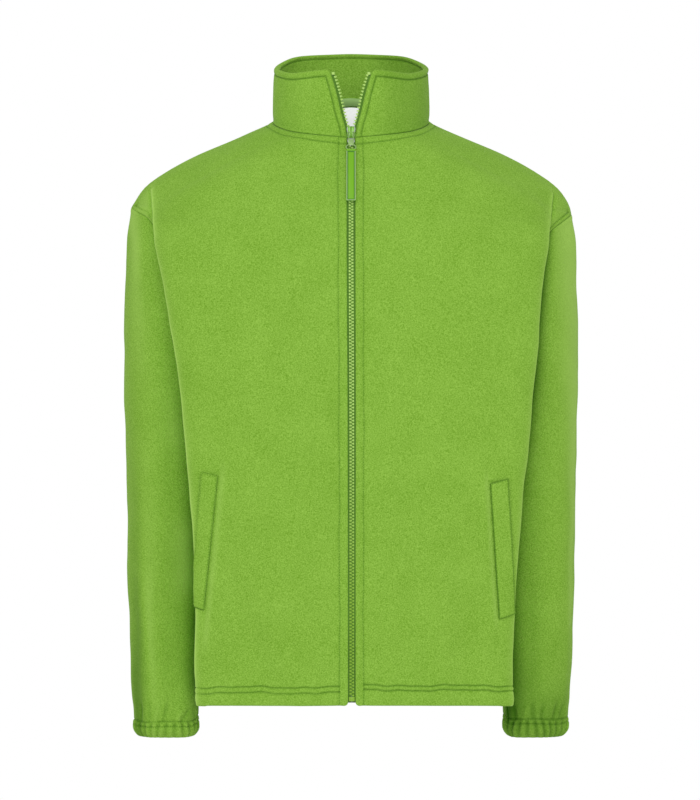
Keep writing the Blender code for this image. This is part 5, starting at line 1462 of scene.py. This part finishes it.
def tabParts():
    bar, end, half, thick, wrap, edge = (tab[key] for key in ("bar", "end", "half", "thick", "wrap", "edge"))
    strip = box((-half, -thick, end), (half, thick, bar - 0.9), bevel=0)
    for y in (-1, 1):
        for face in strip.data.polygons:
            face.select = face.normal.y * y > 0.9
        bpy.context.view_layer.objects.active = strip
        bpy.ops.object.mode_set(mode="EDIT")
        for inward, outward in ((tab["border"], -tab["sunk"]), (tab["trough"], tab["raised"])):
            bpy.ops.mesh.inset(thickness=inward)
            bpy.ops.mesh.extrude_region_move(TRANSFORM_OT_translate={"value": (0, y * outward, 0)})
        bpy.ops.mesh.select_all(action="DESELECT")
        bpy.ops.object.mode_set(mode="OBJECT")
    soften(strip, 0.2, 2)
    for key in ("tab", "tabPaintedHighlight", "tabPaintedShade"):
        strip.data.materials.append(finishes[key])
    for face in strip.data.polygons:   # painted highlight on the raised border, painted shade in the trough inside it
        x, y, z = face.center
        border = abs(x) > half - 0.75 or z < end + 0.75
        trough = abs(x) > 3.5 or not end + 2.0 < z < bar - 2.8
        face.material_index = (1 if abs(y) > 0.55 else 0) if border else 2 if trough else 0
    turns = np.linspace(0, 2 * math.pi, 24, endpoint=False)
    ring = [(bar + wrap * math.sin(a), wrap * math.cos(a), 0) for a in turns]
    loop = curveMesh(ring, "tab_loop", True, extrude=half - edge, bevel_depth=edge)
    loop.data.materials.clear()
    loop.data.materials.append(finishes["tab"])
    loop.rotation_euler = (0, math.pi / 2, 0)
    loop.scale = (-1, 1, 1)
    bpy.ops.object.transform_apply(location=False, rotation=True, scale=True)
    return [strip, loop]


finished(pullerParts(), "puller", finishes["puller"], "pull", "zip_pull", "zip_pull", **hang)
finished(tabParts(), "tab", finishes["tab"], "pull", "zip_tab", "zip_tab", **hang)
print("slider, puller and tab")

# Neck tape over the seam inside, and the blank label under it.
backPart = slice(frontCols, frontCols + backCols - 2)
inner, n = lining[:, backPart], -normals["collar"][:, backPart]
up = fromStart(faces["collar"], 0)[:, backPart]
levels = np.array([0.3, 0.42, 0.7, 1.2, 2.5, 4.5, 6.5, 8.2, 9.2, 9.6, 9.75])
grid, directions = [], []
for level in levels:
    points, away = lineOn(inner, n, up, level)
    grid.append(points)
    directions.append(away)
n = np.array(directions)
grid = np.array(grid) + n * 0.8
half = 0.4 * roundBorders(grid, 0.35)
obj, _ = clothShell("neck_binding", grid, n, half, finishes["binding"])
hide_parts("neck_tape")
long = fromStart(grid, 1)

label = {"half": 29.0, "drops": (0.25, 14.0, 30.0, 47.0), "leans": (0.2, 0.6, 2.0, 4.2), "thick": 0.5,
         "ahead": 0.9}
seamInner = lining[0, backPart]
xs = bordered([0, 0.15, 0.5, 1.0, 1.6], 2 * label["half"], 40) - label["half"]
drops = np.concatenate([[0.25, 0.4, 0.7, 1.2], np.linspace(2, 45.4, 32), [46, 46.5, 46.85, 47]])
grid = np.zeros((len(drops), len(xs), 3))
grid[..., 0] = xs
grid[..., 1] = np.interp(xs, seamInner[:, 0], seamInner[:, 1])[None] - label["ahead"]
grid[..., 1] += np.interp(drops, label["drops"], label["leans"])[:, None]
grid[..., 1] += 0.35 * np.sin(xs / 9)[None] * (drops / drops[-1])[:, None]
grid[..., 2] = np.interp(xs, seamInner[:, 0], seamInner[:, 2])[None] - drops[:, None]
n = normalsOf(grid, 1.0)
n *= -np.sign(n[..., 1:2])
half = label["thick"] / 2 * roundBorders(grid, 0.3)
obj, _ = clothShell("neck_label_cloth", grid, n, half, finishes["label"])
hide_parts("neck_label")
print("neck tape and label")

# The studio
view = {"eye": (-0.0012, -3.5, -0.326), "tall": 0.96, "away": 3.5, "sensor": 24.0}
cam = bpy.data.cameras.new("camera")
cam.sensor_fit = "VERTICAL"
cam.sensor_height = view["sensor"]
cam.lens = view["sensor"] * view["away"] / view["tall"]
camera = bpy.data.objects.new("camera", cam)
camera.location = view["eye"]
camera.rotation_euler = (math.pi / 2, 0, 0)
scene.collection.objects.link(camera)
scene.camera = camera
scene.view_settings.view_transform = "Standard"

light = {"front": 27.0, "frontSize": 1.4, "key": 5.5, "keySize": 1.2, "sky": 0.62}


def softLight(name, place, aim, power, size):
    lamp = bpy.data.lights.new(name, "AREA")
    lamp.energy, lamp.size = power, size
    obj = bpy.data.objects.new(name, lamp)
    obj.location = place
    obj.rotation_euler = (Vector(aim) - Vector(place)).to_track_quat("-Z", "Y").to_euler()
    scene.collection.objects.link(obj)


softLight("front", (0, -3.4, 0.3), (0, 0, -0.3), light["front"], light["frontSize"])
softLight("key", (-0.9, -2.4, 1.6), (0, 0, -0.3), light["key"], light["keySize"])
world = bpy.data.worlds.new("studio")
scene.world = world
world.use_nodes = True
tree = world.node_tree
sky = tree.nodes["Background"]
setSockets(tree, sky, {"Color": (1, 1, 1), "Strength": light["sky"]})
seen = addNode(tree, "Background", {"Color": (1, 1, 1), "Strength": 1.0})
ray = addNode(tree, "LightPath").outputs["Is Camera Ray"]
mix = addNode(tree, "MixShader", {"Fac": ray, 1: sky.outputs["Background"], 2: seen.outputs["Background"]})
setSockets(tree, tree.nodes["World Output"], {"Surface": mix.outputs["Shader"]})

bpy.ops.mesh.primitive_plane_add(size=1, location=(0, -0.2, -1.0))
floor = bpy.context.object
floor.name = "floor"
floor.scale = (4.0, 2.6, 1)
floor.data.materials.append(plainFinish("pale_floor", (0.9, 0.9, 0.9), 0.9))
print("studio")
